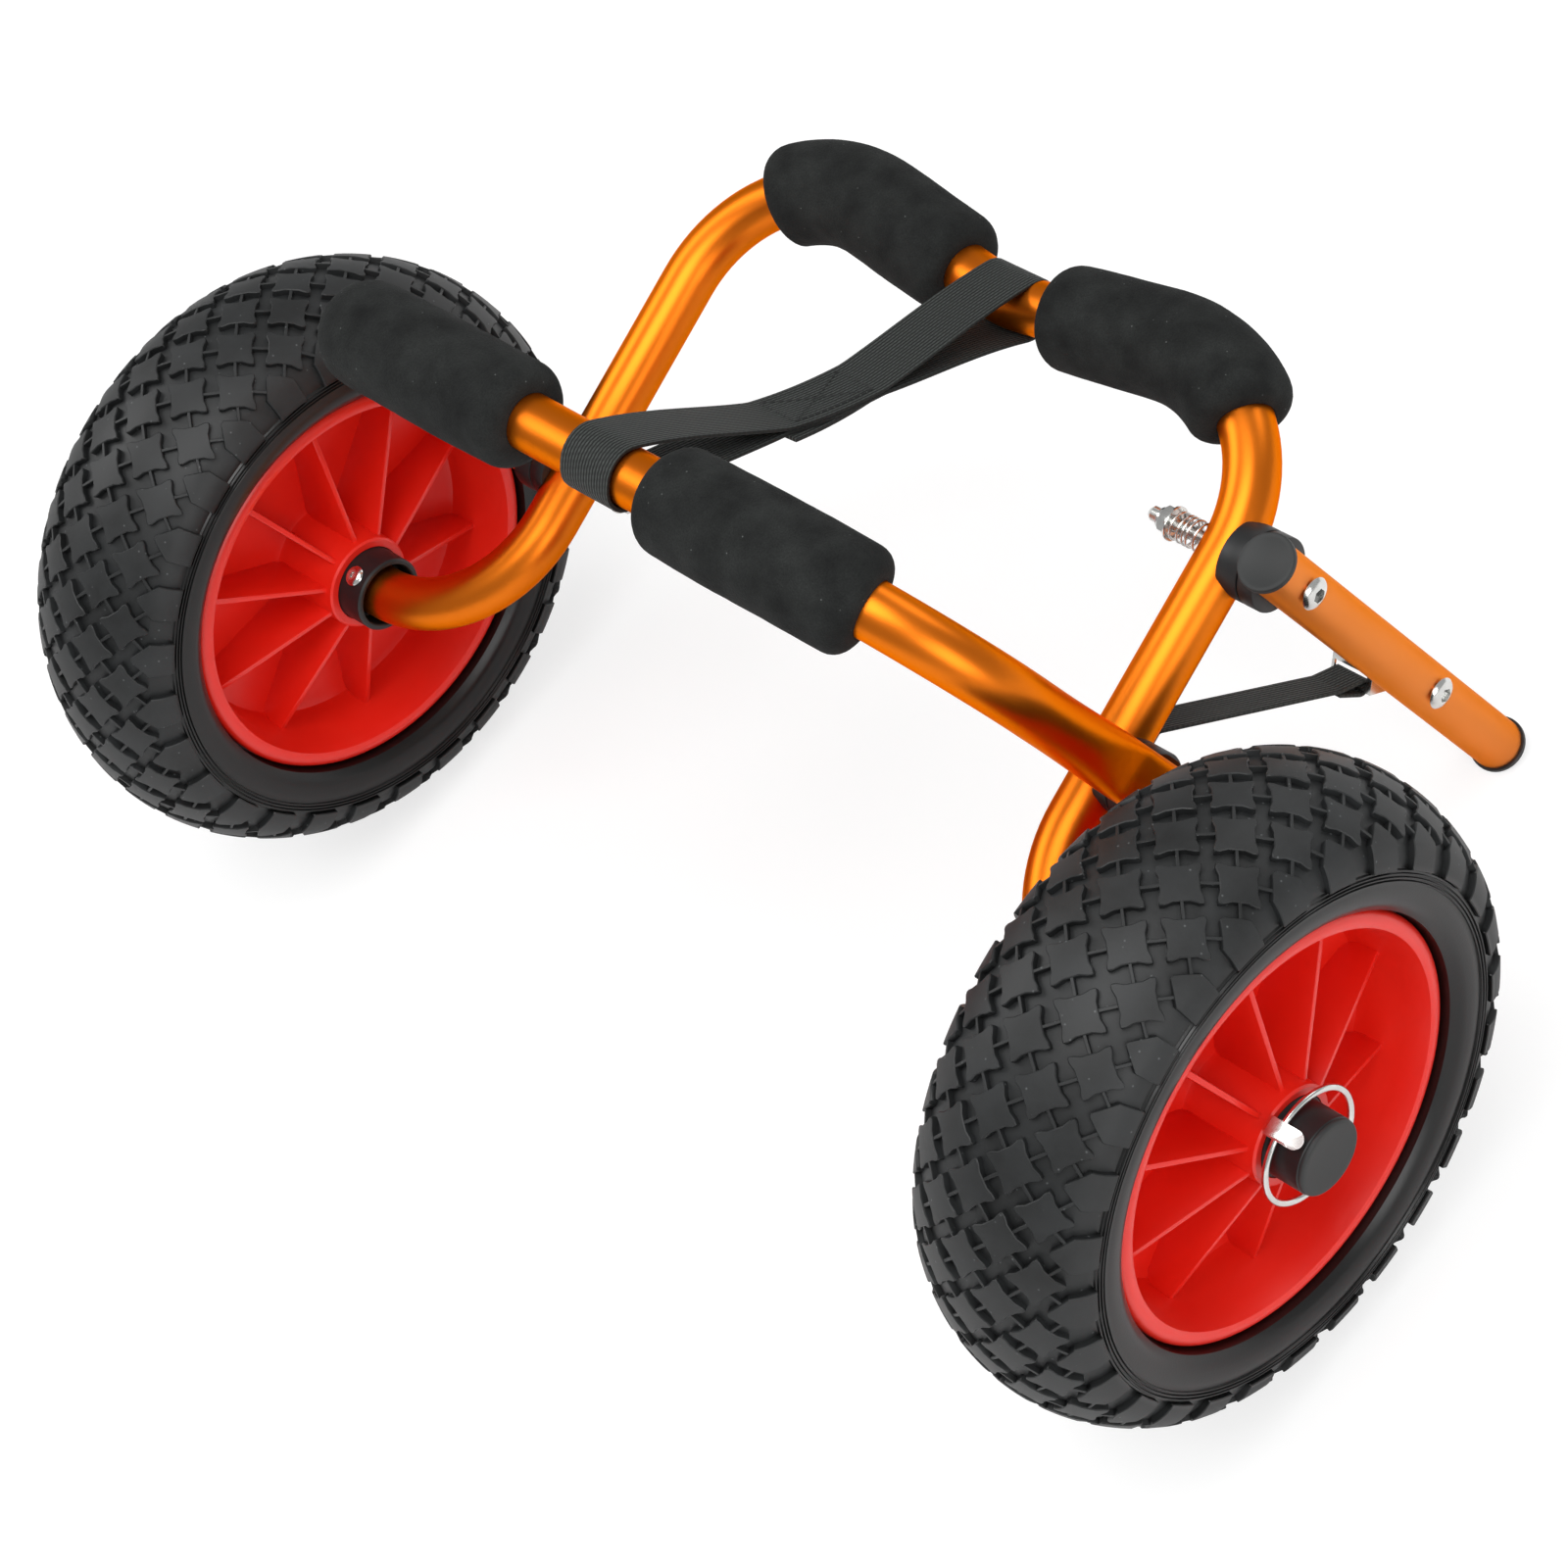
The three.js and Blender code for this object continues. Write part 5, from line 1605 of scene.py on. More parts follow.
@dataclass
class Frames(Part):
    """The two bent-tube frames, pressed flat at the front legs' pivots."""

    tube: float = 11.0
    wall: float = 1.5
    sides: int = 36
    bend_step: float = 4.0
    straight_step: float = 12.0
    pressed_step: float = 3.0
    axle_end: float = 280.0
    leg_span: float = 145.0
    height: float = 240.0
    dip: float = 20.0
    bend: float = 60.0
    front_span: float = 172.0
    front_length: float = 165.0
    front_bend: float = 60.0
    front_overhang: float = 15.0
    flat_half_width: float = 11.7
    flat_half_thickness: float = 5.6
    flat_end: float = 46.0
    flat_taper: float = 58.0
    die_edge: float = 9.0
    die_open: float = 1.35

    def rear_path(self) -> BentPath:
        """Stub axle, quarter bend, leg, top bend and a shallow V across, then mirrored."""
        x, h = self.leg_span, self.height
        half = [(-self.axle_end, 0), (-x, 0), (-x, h)]
        mirrored = [(-across, up) for across, up in reversed(half)]
        return BentPath([*half, (0, h - self.dip), *mirrored], [self.bend] * 5)

    def front_path(self) -> BentPath:
        """The front frame's U."""
        x, top, foot = self.front_span, self.front_length, -self.front_overhang
        return BentPath([(-x, foot), (-x, top), (x, top), (x, foot)], [self.front_bend] * 2)

    def pressed(self, path: BentPath) -> Route:
        """Presses the section flat between two dies at both leg ends of a path.

        Args:
            path: the front frame's path.

        Returns:
            How each point of the straight tube is laid.
        """
        half, thin, wide = path.length / 2, self.flat_half_thickness, self.flat_half_width

        def route(co: Vector) -> Vector:
            """Flattens the section by its distance from the leg's end and lays it on the path.

            Args:
                co: a point of the straight tube.

            Returns:
                Its place on the bent one.
            """
            share = clamp((half - abs(co.x) - self.flat_end) / self.flat_taper)
            die = thin + (self.tube * self.die_open - thin) * share
            pressed = co.z / (1 + (abs(co.z) / die) ** self.die_edge) ** (1 / self.die_edge)
            eased_share = share * share * (3 - 2 * share)
            out = (wide + (self.tube - wide) * eased_share) / self.tube
            return path.upright(Vector((co.x, co.y * out, pressed)))

        return route

    def bent_tube(self, name: str, path: BentPath, route: Route,
                  end_step: float) -> Piece:
        """Extrudes a straight tube, lays it along its path and gives it its wall.

        Args:
            name: the piece's name.
            path: its path.
            route: how it is laid there.
            end_step: the spacing of rings on straight runs.

        Returns:
            The tube.
        """
        stations = path.stations(self.bend_step, end_step)
        piece = turned(name, [(s, self.tube) for s in stations], self.sides, Ends.OPEN)
        return modify(wrap(piece, route), "SOLIDIFY", thickness=self.wall, offset=-1.0)

    def build(self) -> None:
        """Makes both frame tubes."""
        rear, front, orange = self.rear_path(), self.front_path(), self.finishes.orange
        piece = self.bent_tube("rear_bow_tube", rear, rear.upright, self.straight_step)
        finish(piece, self.places.rear, orange, ["axle_frame_tube"], "axle_frame")
        piece = self.bent_tube("front_bow_tube", front, self.pressed(front),
                               self.pressed_step)
        finish(piece, self.places.front, orange, ["swing_frame_tube"], "swing_frame")


@dataclass
class FoamPads(Part):
    """Four foam sleeves pushed over the crossbars, with rounded ends and an uneven soft skin."""

    radius: float = 21.2
    bore: float = 11.2
    edge: float = 8.0
    crown: float = 0.6
    front: Span = (36.0, 136.0)
    rear: Span = (25.0, 127.0)
    step: float = 3.0
    bore_steps: int = 30
    hollow_size: float = 22.0
    waviness: float = 0.7
    sides: int = 48

    def sleeve(self, name: str, start: float, end: float) -> Piece:
        """One straight sleeve with round edges, before it is pushed on.

        Args:
            name: its name.
            start: where it starts along the tube.
            end: where it ends.

        Returns:
            The sleeve along X.
        """
        edge, long = self.edge, end - start
        rise = arc((start + edge, self.radius - edge), edge, 180, 90, 7)
        fall = arc((end - edge, self.radius - edge), edge, 90, 0, 7)
        steps = round((long - 2 * edge) / self.step)
        flat = [(start + edge + (long - 2 * edge) * k / steps, self.radius)
                for k in range(1, steps)]
        middle, half = (start + end) / 2, long / 2
        body = [(x, r - self.crown * ((x - middle) / half) ** 2) for x, r in [*rise, *flat, *fall]]
        count = self.bore_steps
        back = [(end - long * k / count, self.bore) for k in range(count + 1)]
        return turned(name, [*body, *back], self.sides, Ends.RING)

    def soften(self, piece: Piece) -> Piece:
        """Presses slow hollows into the skin, as soft foam has.

        Args:
            piece: the sleeve.

        Returns:
            The same sleeve.
        """
        clouds = bpy.data.textures.new("foam_hollows", "CLOUDS")
        clouds.noise_scale = self.hollow_size
        return modify(piece, "DISPLACE", texture=clouds, strength=self.waviness, mid_level=0.5,
                      texture_coords="LOCAL")

    def build(self, frames: Frames) -> None:
        """Args:
            frames: the tubes that they are pushed over.
        """
        plans = (("front", self.front, frames.front_path(), self.places.front, "swing_frame"),
                 ("rear", self.rear, frames.rear_path(), self.places.rear, "axle_frame"))
        for word, (start, end), path, place, body in plans:
            for side in Side:
                name = f"{word}_foam_sleeve_{side.word}"
                span = (start, end) if side is Side.RIGHT else (-end, -start)
                piece = self.soften(wrap(self.sleeve(name, *span), path.upright))
                finish(piece, place, self.finishes.foam, [f"{word}_pad_{side.word}"], body)


@dataclass
class Pivots(Part):
    """Spring-loaded pivots: two saddles, bolt, spring, washer and lock nut on each leg."""

    leg_span: float = 145.0
    front_span: float = 172.0
    stand_span: float = 175.0
    tube: float = 11.0
    stand_tube: float = 10.5
    saddle: float = 15.0
    stand_saddle: float = 14.9
    saddle_edge: float = 1.0
    wrap_depth: float = 6.0
    flat_half: float = 5.6
    flat_cut_half: float = 15.6
    seam_gap: float = 3.2
    gap: float = 0.25
    seat_gap: float = 0.1
    cutter_length: float = 60.0
    bolt: float = 3.0
    bolt_tip: float = 107.0
    bolt_end: float = 5.0
    thread_start: float = 0.8
    thread_length: float = 13.0
    thread_pitch: float = 1.0
    thread_depth: float = 0.35
    head: float = 6.5
    head_height: float = 2.8
    head_roundness: float = 0.75
    socket: float = 2.97
    socket_depth: float = 1.8
    socket_rim: float = 0.42
    tip_chamfer: float = 0.9
    nut_flat: float = 5.0
    nut_height: float = 4.0
    nut_chamfer: float = 0.9
    nut_gap: float = 0.3
    collar: float = 4.4
    collar_height: float = 2.0
    collar_round: float = 1.1
    washer: float = 7.0
    washer_thickness: float = 1.2
    spring: float = 5.6
    spring_wire: float = 0.52
    spring_gap: float = 0.2
    coils: float = 5.5
    coil_steps: int = 28
    end_closing: float = 0.065
    middle_closing: float = 0.026

    @property
    def nut_face(self) -> float:
        """Where the nut's flat face lies along X."""
        return self.bolt_tip + self.bolt_end + self.nut_height + self.collar_height - self.nut_gap

    def head_bolt(self, name: str, seat: float, tip: float) -> Piece:
        """A button-head bolt with a hex socket and a threaded tip.

        Args:
            name: its name.
            seat: where its head sits along X.
            tip: where its shank ends.

        Returns:
            The bolt along X.
        """
        shank, head, top, thread = self.bolt, self.head, seat + self.head_height, []
        for k in range(round(self.thread_length / self.thread_pitch)):
            start = tip + self.thread_start + k * self.thread_pitch
            thread += [(start, shank - self.thread_depth), (start + self.thread_pitch / 2, shank)]
        curve = [(seat + self.head_height * math.sin(a), head * math.cos(a) ** self.head_roundness)
                 for a in (math.radians(15 * k) for k in range(1, 5))]
        profile = [(tip, shank - self.tip_chamfer), *thread, (seat, shank), (seat, head - 0.25),
                   (seat + 0.5, head), *curve, (top, head * self.socket_rim)]
        place = shift(top) @ spin(QUARTER, "Y")
        return carve(turned(name, profile, 32),
                     post("key", 6, self.socket, 2 * self.socket_depth, place))

    def lock_nut(self, name: str, face: float) -> Piece:
        """A hex nut with chamfered corners and a round collar that holds its locking insert.

        Args:
            name: its name.
            face: where its flat face lies along X; the collar points to lower X.

        Returns:
            The nut along X.
        """
        corner, low = self.nut_flat / math.cos(math.pi / 6), face - self.nut_height
        place = shift((low + face) / 2) @ spin(QUARTER, "Y")
        hexagon = post(name, 6, corner, self.nut_height, place)
        small, wide, ease = self.nut_flat - 1.2, corner + 0.15, self.nut_chamfer
        cone = turned("chamfer", [
            (low - 1, small), (low + ease, wide), (face - ease, wide), (face + 1, small)], 36)
        carve(hexagon, cone, Cut.WITHIN)
        bend, end = self.collar_round, low - self.collar_height
        dome = arc((end + bend, self.collar - bend), bend, 180, 90, 4)
        collar = turned("collar", [
            (end, self.bolt + 0.4), *dome, (low, self.collar), (low + 0.5, self.collar)], 32)
        return joined(name, [hexagon, collar])

    def flat_washer(self, name: str, face: float) -> Piece:
        """A stamped washer with one rolled edge.

        Args:
            name: its name.
            face: where its upper face lies along X.

        Returns:
            The washer along X.
        """
        low, inner, outer = face - self.washer_thickness, self.bolt + 0.25, self.washer
        return turned(name, [
            (low, inner), (low, outer - 0.3), (low + 0.3, outer), (face - 0.25, outer),
            (face, outer - 0.25), (face, inner)], 36, Ends.RING)

    def coil_spring(self, name: str, start: float, end: float) -> Piece:
        """A compression spring with its end coils drawn close.

        Args:
            name: its name.
            start: its lower end along X.
            end: its upper end.

        Returns:
            The spring along X.
        """
        length = 2 * math.pi * self.spring * self.coils
        straight = wire(name, (0, length), round(self.coils * self.coil_steps), self.spring_wire,
                        (0, self.spring_wire * 0.8), 10)
        low, high = start + self.spring_wire, end - self.spring_wire

        def helix(co: Vector) -> Vector:
            """Winds the wire, flat at both ends and steep between.

            Args:
                co: a point of the straight wire.

            Returns:
                Its place on the coil.
            """
            share = clamp(co.x / length)
            closing = self.middle_closing if 0.25 <= share <= 0.75 else self.end_closing
            eased_share = share - closing * math.sin(4 * math.pi * share)
            angle, radius = 2 * math.pi * self.coils * share, self.spring + co.z
            return Vector((low + (high - low) * eased_share + co.y,
                           radius * math.sin(angle), radius * math.cos(angle)))

        return wrap(straight, helix)

    def disc(self, name: str, radius: float, low: float, high: float) -> Piece:
        """A saddle's round body with softened rims.

        Args:
            name: its name.
            radius: its radius.
            low: its lower end along X.
            high: its upper end.

        Returns:
            The body along X.
        """
        edge = self.saddle_edge
        return turned(name, [
            (low, radius - edge), (low + edge * 0.3, radius - edge * 0.3), (low + edge, radius),
            (high - 0.5, radius), (high - 0.15, radius - 0.15), (high, radius - 0.5)], 44)

    def hug(self, body: Piece, x: float, half: float, wide: float) -> Piece:
        """Cuts the seat of an upright tube out of a saddle's body.

        Args:
            body: the saddle's body.
            x: where the tube stands along X.
            half: half the tube's size along X.
            wide: half its size along Y.

        Returns:
            The saddle.
        """
        place = shift(x) @ Matrix.Diagonal((half, wide, 1, 1))
        return carve(body, post("tube_seat", 48, 1.0, self.cutter_length, place))

    def leg_saddle(self, name: str, radius: float, seam: float) -> Piece:
        """The saddle half that hugs the rear leg.

        Args:
            name: its name.
            radius: its radius.
            seam: where the two halves meet along X.

        Returns:
            The saddle.
        """
        body = self.disc(name, radius, self.leg_span + self.wrap_depth, seam - self.gap / 2)
        return self.hug(body, self.leg_span, self.tube + self.gap, self.tube + self.gap)

    def front_half(self, name: str, seam: float) -> Piece:
        """The saddle half that turns with the front leg and holds its pressed end.

        Args:
            name: its name.
            seam: where the two halves meet along X.

        Returns:
            The saddle.
        """
        low, high = -self.front_span + self.wrap_depth / 2, -seam - self.gap / 2
        body = on_side(self.disc(name, self.saddle, low, high), Side.LEFT)
        return self.hug(body, self.front_span, self.flat_half + 2 * self.gap, self.flat_cut_half)

    def stack(self, prefix: str, suffix: str, side: Side, height: float, seat: float) -> None:
        """The inner stack of one pivot and its bolt.

        Args:
            prefix: the first word of the CAD nodes' names.
            suffix: the last part of their names.
            side: the cart's side.
            height: the pivot's height up the rear leg.
            seat: where the bolt's head sits along X.
        """
        washer_face = self.nut_face + self.nut_gap + self.washer_thickness
        start, end = washer_face + self.spring_gap, self.leg_span - self.tube - self.seat_gap
        place = self.places.rear @ shift(z=height * MM)
        made = (
            (self.coil_spring(f"{prefix}_coil{suffix}", start, end), "spring"),
            (self.flat_washer(f"{prefix}_flat_washer{suffix}", washer_face), "washer"),
            (self.lock_nut(f"{prefix}_lock_nut{suffix}", self.nut_face), "nut"),
            (self.head_bolt(f"{prefix}_button_bolt{suffix}", seat, self.bolt_tip), "bolt"),
        )
        for piece, word in made:
            node = f"{prefix}_{word}{suffix}"
            finish(on_side(piece, side), place, self.finishes.zinc, [node], "axle_frame")

    def build(self) -> None:
        """Makes every pivot."""
        places, plastic = self.places, self.finishes.plastic
        seam = (self.leg_span + self.front_span) / 2
        height = places.rear @ shift(z=places.pivot_height * MM)
        for side in Side:
            word = side.word
            piece = on_side(self.leg_saddle(f"rear_saddle_{word}", self.saddle, seam), side)
            finish(piece, height, plastic, [f"pivot_leg_saddle_{word}"], "axle_frame")
            piece = on_side(self.front_half(f"front_saddle_{word}", seam), side)
            finish(piece, places.front, plastic, [f"pivot_frame_saddle_{word}"], "swing_frame")
            seat = self.front_span + self.flat_half + self.seat_gap
            self.stack("pivot", f"_{word}", side, places.pivot_height, seat)
        seam = self.stand_span - self.stand_tube - self.seam_gap
        height = places.rear @ shift(z=places.stand_height * MM)
        piece = self.leg_saddle("stand_rear_saddle", self.stand_saddle, seam)
        finish(piece, height, plastic, ["stand_leg_saddle"], "axle_frame")
        low, high = seam + self.gap / 2, self.stand_span - self.wrap_depth
        body = self.disc("stand_turning_saddle", self.stand_saddle, low, high)
        bore = self.stand_tube + self.gap
        piece = self.hug(body, self.stand_span, bore, bore)
        finish(piece, places.stand, plastic, ["stand_tube_saddle"], "kickstand")
        seat = self.stand_span + self.stand_tube + self.seat_gap
        self.stack("stand", "", Side.RIGHT, places.stand_height, seat)


@dataclass
class Stand(Part):
    """The swing-out stand: tube, two caps, second bolt and the strap bracket."""

    span: float = 175.0
    tube: float = 10.5
    wall: float = 1.5
    rings: int = 24
    length: float = 195.0
    top: float = 22.0
    cap: float = 11.5
    cap_thickness: float = 2.5
    cap_gap: float = 0.15
    cap_round: float = 0.7
    plug_length: float = 9.0
    plug_gap: float = 0.2
    second_bolt: float = 115.0
    bolt_reach: float = 8.5
    bolt_gap: float = 0.1
    bracket_gap: float = 0.25
    bracket_thickness: float = 1.2
    bracket_edge: float = 0.25
    bracket_weld: float = 0.01
    nut_gap: float = 0.2

    def capped_end(self, name: str) -> Piece:
        """A press-in cap: a plug with a thin flange and a flat face, along X.

        Args:
            name: its name.

        Returns:
            The cap, its flange starting at the origin.
        """
        plug, end = self.tube - self.wall - self.plug_gap, -self.plug_length
        flange = self.cap_thickness
        edge = arc((flange - self.cap_round, self.cap - self.cap_round), self.cap_round, 90, 0, 4)
        return turned(name, [(end, plug - 1), (end + 1, plug), (0, plug), (0, self.cap - 0.2),
                             (0.2, self.cap), *edge, (flange, self.cap - 2.0),
                             (flange - 0.2, self.cap - 2.4)], 40)

    def build(self, pivots: Pivots) -> None:
        """Makes the stand's pieces.

        Args:
            pivots: the pivots, whose bolt and nut it shares.
        """
        place, look = self.places.stand, self.finishes
        foot = self.cap_thickness + self.cap_gap - self.length
        top = self.top - self.cap_thickness - self.cap_gap
        rings = [foot + (top - foot) * k / self.rings for k in range(self.rings + 1)]
        tube = turned("stand_tube", [(z, self.tube) for z in rings], 36, Ends.OPEN)
        modify(tube, "SOLIDIFY", thickness=self.wall, offset=-1.0)
        upright = shift(self.span) @ spin(-QUARTER, "Y")
        finish(moved(tube, upright), place, look.stand, ["kickstand_tube"], "kickstand")
        lift = shift(z=self.top - self.cap_thickness)
        cap = moved(self.capped_end("stand_top_cap"), lift @ upright)
        finish(cap, place, look.cap, ["kickstand_top_cap"], "kickstand")
        down = shift(self.span, 0, self.cap_thickness - self.length) @ spin(QUARTER, "Y")
        cap = moved(self.capped_end("stand_foot_cap"), down)
        finish(cap, place, look.plastic, ["kickstand_foot_cap"], "kickstand")
        inner, low = self.span - self.tube - self.bracket_gap, shift(z=-self.second_bolt)
        seat = self.span + self.tube + self.bolt_gap
        bolt = moved(pivots.head_bolt("bracket_button_bolt", seat, inner - self.bolt_reach), low)
        finish(bolt, place, look.zinc, ["bracket_bolt"], "kickstand")
        nut = pivots.lock_nut("bracket_lock_nut", inner - self.bracket_thickness - self.nut_gap)
        finish(moved(nut, low), place, look.zinc, ["bracket_nut"], "kickstand")
        self.dress_bracket()

    def dress_bracket(self) -> None:
        """The stamped bracket keeps its CAD shape and gets welded, softened edges and plating."""
        bracket = frame["nodes"]["strap_bracket"]
        bracket.modifiers.new("weld", "WELD").merge_threshold = self.bracket_weld * MM
        ease = bracket.modifiers.new("edges", "BEVEL")
        ease.width, ease.segments = self.bracket_edge * MM, 2
        ease.limit_method, ease.angle_limit = "ANGLE", math.radians(50)
        bracket.data.materials.clear()
        bracket.data.materials.append(self.finishes.zinc.material)


@dataclass
class CentreStrap(Part):
    """One loop of webbing round both crossbars, sewn together over its middle."""

    width: float = 25.0
    thickness: float = 1.5
    edge: float = 0.25
    weld: float = 0.05
    front_shift: float = 7.0
    rear_shift: float = 1.0
    seam: float = 50.0
    bore: float = 11.4
    step: float = 3.0
    sag: float = 9.0
    seam_bend: float = 20.0
    bar_bend: float = 14.0
    corner_lift: float = 0.98
    corner_bend: float = 0.9
    tail_turn: float = math.radians(-7)
    tail_reach: float = 3.0
    tail_gap: float = 0.15
    stitch: float = 2.6
    stitch_gap: float = 0.9
    stitch_radius: float = 0.3
    stitch_tip: float = 0.12
    stitch_taper: float = 0.35
    stitch_lift: float = 0.1
    box_inset: Span = (4.0, 3.0)

    def span(self, frames: Frames) -> tuple[Vector, Vector]:
        """Finds both bars in the rear frame's side plane.

        Args:
            frames: the two frames.

        Returns:
            The centres of the front and the rear bar, as (back, up).
        """
        reach, opening = frames.front_length, self.places.opening
        up = self.places.pivot_height + reach * math.cos(opening)
        return Vector((-reach * math.sin(opening), up)), Vector((0, frames.height - frames.dip))

    def loop_path(self, length: float) -> BentPath:
        """The strap's centre line, drawn along the line between the bars.

        Args:
            length: the distance between the bars.

        Returns:
            The closed path, starting over the seam's middle.
        """
        radius, half = self.bore + self.thickness / 2, self.thickness / 2
        near, far = (length - self.seam) / 2, (length + self.seam) / 2
        rear, front, lift = length + radius, -radius, radius * self.corner_lift
        corners = [
            (length / 2, half), (far, half), (length, radius), (rear, lift), (rear, -lift),
            (length, -radius), (far, -half), (near, -half), (0, -radius), (front, -lift),
            (front, lift), (0, radius), (near, half), (length / 2, half),
        ]
        bend = radius * self.corner_bend
        turns = [self.seam_bend, self.bar_bend, bend, bend, self.bar_bend, self.seam_bend]
        return BentPath(corners, turns * 2)

    def build(self, frames: Frames) -> None:
        """Makes the strap, its stitching and its loose tail, and lays them on the loop round both crossbars.

        Args:
            frames: the two frames that it ties.
        """
        front, rear = self.span(frames)
        reach = rear - front
        length, look = reach.length, self.finishes
        path = self.loop_path(length)
        lean = math.atan2(reach.y, reach.x)
        place = self.places.rear @ shift(0, front.x * MM, front.y * MM) @ spin(lean, "X")

        def side_plane(point: Vector, sideways: float) -> Vector:
            """Turns the line drawing to the strap's own frame, drifting along X.

            Args:
                point: a point of the drawing.
                sideways: its place across the strap.

            Returns:
                Its place in the strap's frame.
            """
            share = point.x / length
            sag = self.sag * math.sin(math.pi * clamp(share)) ** 2
            drift = self.front_shift + (self.rear_shift - self.front_shift) * share
            return Vector((sideways + drift, point.x, point.y - sag))

        def lay(co: Vector) -> Vector:
            """Lays a point of the flat strip on the loop."""
            return side_plane(path.along(co)[1], co.y)

        flat = strip("centre_webbing", path.length, self.width, self.thickness, self.step)
        strap = wrap(flat, lay)
        with editing(strap):
            bpy.ops.mesh.remove_doubles(threshold=self.weld)
        finish(eased(strap, self.edge, 1, CORNER_DEGREES), place, look.webbing, ["centre_strap"])
        stitches = finish(self.stitching(length, side_plane), place, look.thread)
        tail = finish(self.tail(length, side_plane), place, look.webbing)
        ends = [place @ Vector((0, at * MM, 0)) for at in (length, 0)]
        for piece in (strap, stitches, tail):
            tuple(ends[0])
            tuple(ends[1])
            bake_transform(piece)

    def tail(self, length: float, lay: Callable[[Vector, float], Vector]) -> Piece:
        """The webbing's loose end under the seam, sewn slightly askew so that a corner looks out.

        Args:
            length: the distance between the bars.
            lay: turns a point of the line drawing, and its place across, to the strap's frame.

        Returns:
            The tail as one piece.
        """
        long = self.seam + 2 * self.tail_reach
        piece = strip("centre_tail", long, self.width, self.thickness, self.step)
        low = -1.5 * self.thickness - self.tail_gap
        moved(piece, shift(length / 2, 0, low) @ spin(self.tail_turn, "Z") @ shift(-long / 2))
        return wrap(piece, lambda co: lay(Vector((co.x, co.z)), co.y))

    def stitching(self, length: float, lay: Callable[[Vector, float], Vector]) -> Piece:
        """A sewn box with crossed diagonals, on both faces of the seam.

        Args:
            length: the distance between the bars.
            lay: turns a point of the line drawing, and its place across, to the strap's frame.

        Returns:
            The stitches as one piece.
        """
        long, wide = self.seam / 2 - self.box_inset[0], self.width / 2 - self.box_inset[1]
        corners = [Vector(c) for c in ((-long, -wide), (long, -wide), (long, wide), (-long, wide))]
        lines = [(corners[i], corners[(i + 1) % 4]) for i in range(4)]
        lines += [(corners[0], corners[2]), (corners[1], corners[3])]
        half, taper, radius = self.stitch / 2, self.stitch_taper, self.stitch_radius
        drawn = turned("stitch", [(-half, self.stitch_tip), (taper - half, radius),
                                  (half - taper, radius), (half, self.stitch_tip)], 6)
        parts = []
        for start, end in lines:
            run = end - start
            count = int(run.length // (self.stitch + self.stitch_gap))
            for k in range(count):
                middle = start + run * ((k + 0.5) / count)
                for face in (-1, 1):
                    up = face * (self.thickness + self.stitch_lift)
                    spot = shift(length / 2 + middle.x, middle.y, up)
                    turn = spin(math.atan2(run.y, run.x), "Z")
                    parts.append(moved(duplicate(drawn, "stitch_copy"), spot @ turn))
        bpy.data.objects.remove(drawn)
        piece = joined("centre_stitching", parts)
        return wrap(piece, lambda co: lay(Vector((co.x, co.z)), co.y))


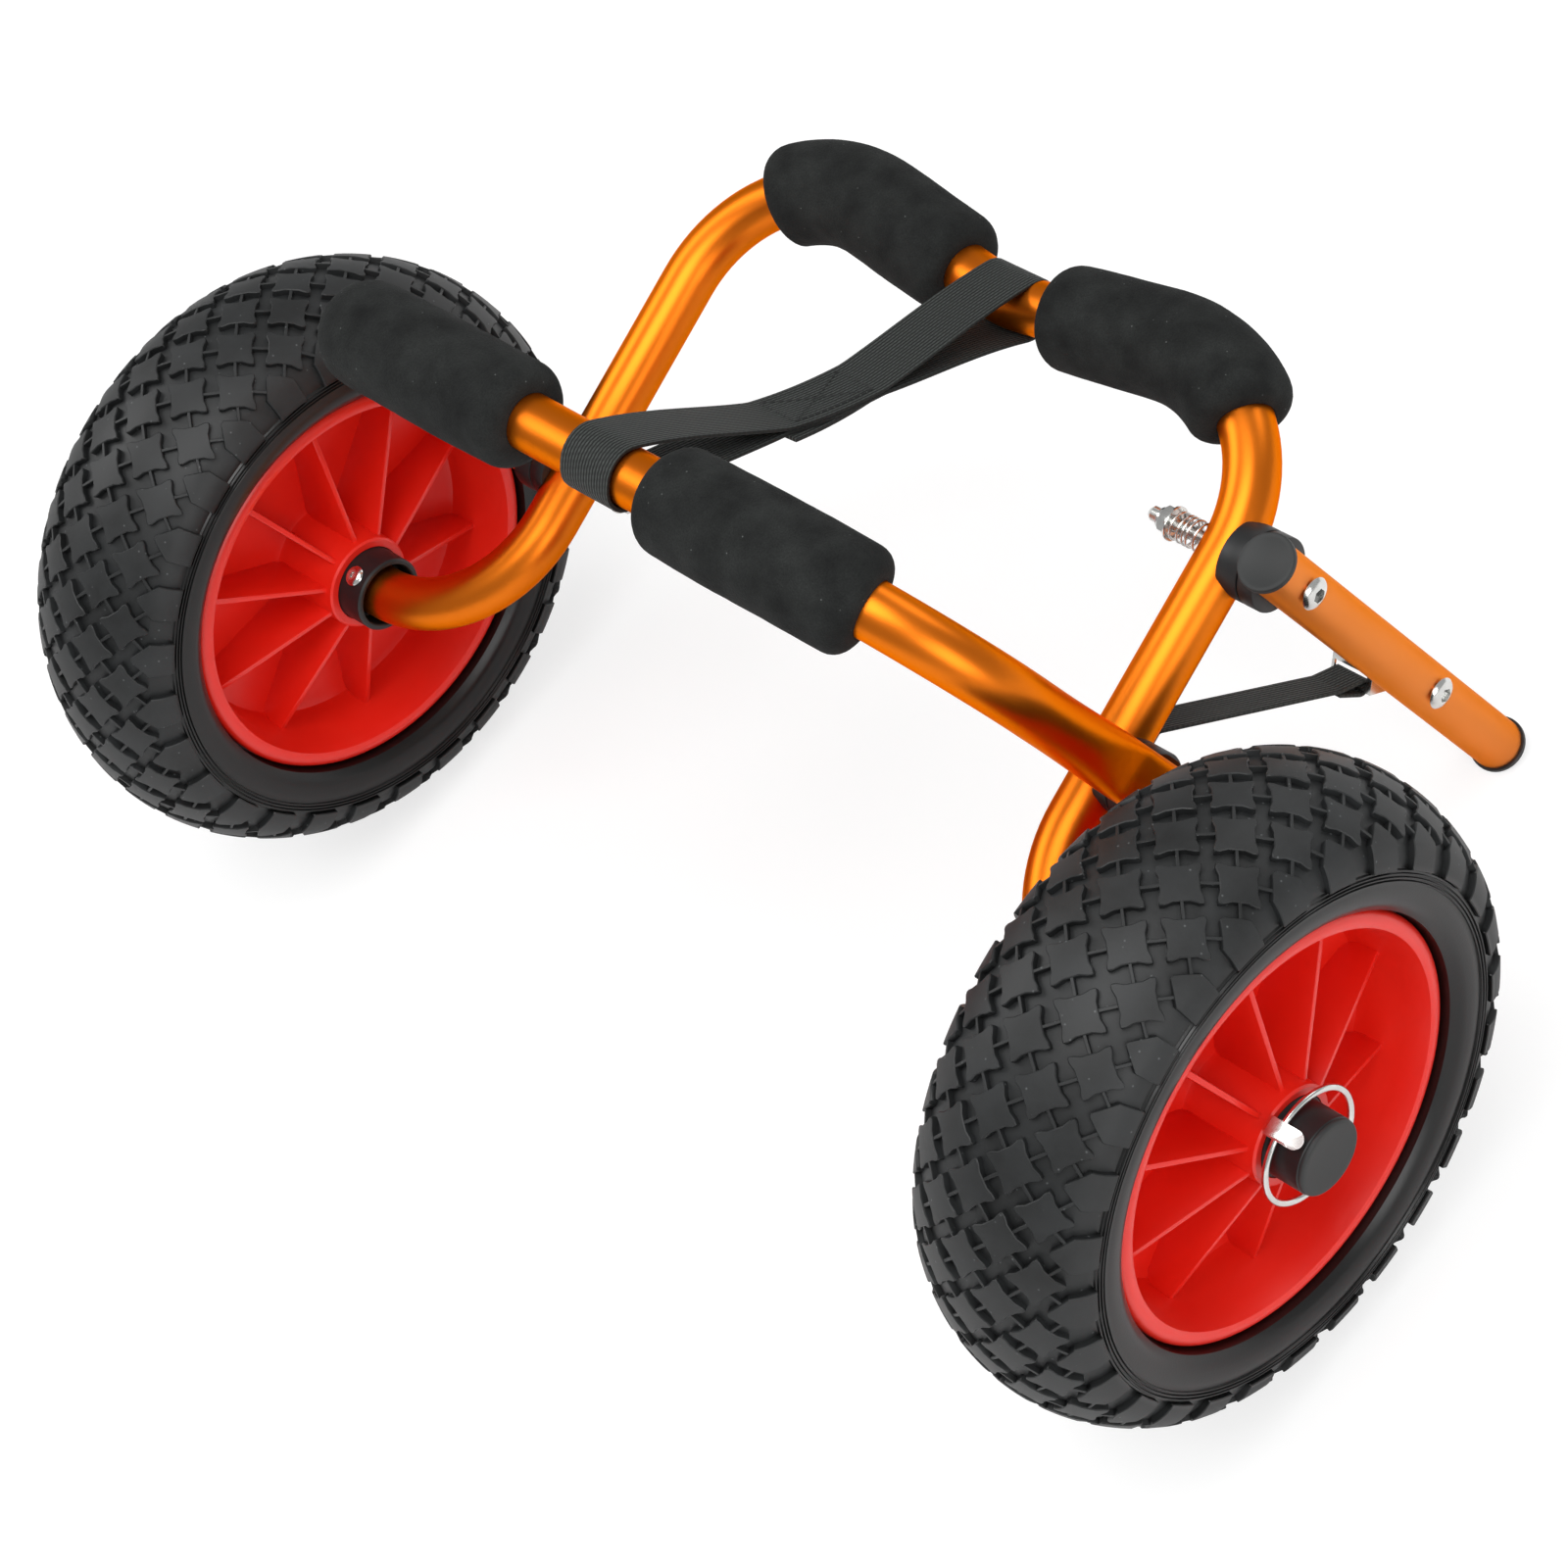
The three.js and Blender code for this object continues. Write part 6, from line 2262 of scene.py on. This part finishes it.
@dataclass
class StayStrap(Part):
    """The narrow strap that limits the stand: riveted to the leg, folded through the bracket."""

    width: float = 15.0
    thickness: float = 1.4
    step: float = 1.2
    edge: float = 0.2
    rivet_height: float = 94.0
    end: float = 6.0
    lift_height: float = 102.0
    fold: float = 15.0
    turn: float = 1.6
    leg_x: float = 143.0
    clearance: float = 0.3
    bracket_reach: float = 15.0
    bracket_shelf: float = 20.0
    bracket_height: float = 12.0
    bracket_slot: float = 4.0
    bracket_lean: float = math.radians(38)
    stand_lean: float = math.radians(89)

    def side_path(self, back: float, stand: Stand) -> BentPath:
        """The strap's centre line in the rear frame's side plane, as (back, up).

        Args:
            back: how far behind the leg's axis it starts.
            stand: the stand, whose bracket it is folded through.

        Returns:
            The path, from the rivet to the strap's doubled end.
        """
        t, gap, lean = self.thickness, self.clearance, self.bracket_lean
        eye = Vector((stand.second_bolt * math.sin(self.stand_lean),
                      self.places.stand_height - stand.second_bolt * math.cos(self.stand_lean)))
        out = Vector((-math.cos(lean), -math.sin(lean)))
        up = Vector((-out.y, out.x))
        reach = self.bracket_reach - stand.bracket_thickness / 2
        bar_half = (self.bracket_height - self.bracket_slot) / 4
        bar_middle = self.bracket_slot / 2 + bar_half
        near, far = bar_middle - bar_half - gap - t / 2, bar_middle + bar_half + gap + t / 2
        bar = stand.bracket_thickness / 2 + gap + t / 2
        folds = ((reach + self.fold, near), (reach - bar, near), (reach - bar, far),
                 (reach + bar, far), (reach + self.fold, near + t + gap))
        corners = [(back, self.rivet_height - self.end), (back, self.lift_height)]
        corners += [tuple(eye + out * distance + up * rise) for distance, rise in folds]
        return BentPath(corners, [self.turn] * 5)

    def build(self, frames: Frames, stand: Stand) -> None:
        """Makes the strap and its rivet.

        Args:
            frames: the frames, whose rear leg it is riveted to.
            stand: the stand that it holds.
        """
        back = frames.tube + self.clearance + self.thickness / 2
        path = self.side_path(back, stand)
        total = path.corners[2][0] - back
        inner = stand.span - stand.tube - self.clearance
        across = inner - (self.bracket_shelf + stand.bracket_thickness) / 2 - self.leg_x

        def lay(co: Vector) -> Vector:
            """Lays the flat strip from the leg to the bracket.

            Args:
                co: a point of the strip.

            Returns:
                Its place in the rear frame.
            """
            spot, point = path.along(co)
            share = clamp((spot.x - back) / total)
            return Vector((self.leg_x + across * share + co.y, point.x, point.y))

        piece = strip("stay_webbing", path.length, self.width, self.thickness, self.step)
        strap, rear = eased(wrap(piece, lay), self.edge, 1, CORNER_DEGREES), self.places.rear
        finish(strap, rear, self.finishes.webbing, ["stay_strap"])
        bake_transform(strap)
        seat = frames.tube + self.thickness + 2 * self.clearance
        rivet = AxleEnd(self.places, self.finishes).rivet(seat, self.leg_x, -QUARTER)
        named(moved(rivet, shift(z=self.rivet_height)), "stay_round_rivet")
        finish(rivet, rear, self.finishes.zinc, ["stay_rivet"], "axle_frame")


def main() -> None:
    """Builds the studio and every sub-assembly in order."""
    logging.basicConfig(level=logging.INFO, format="%(name)s: %(message)s")
    places = Places()
    Studio(places).build()
    finishes = Finishes(places.axle)
    frames, pivots, stand = (kind(places, finishes) for kind in (Frames, Pivots, Stand))
    frames.build()
    FoamPads(places, finishes).build(frames)
    pivots.build()
    stand.build(pivots)
    CentreStrap(places, finishes).build(frames)
    StayStrap(places, finishes).build(frames, stand)
    for side in Side:
        for kind in (Tyre, Rim, AxleEnd):
            kind(places, finishes).build(side)


if __name__ == "__main__":
    main()
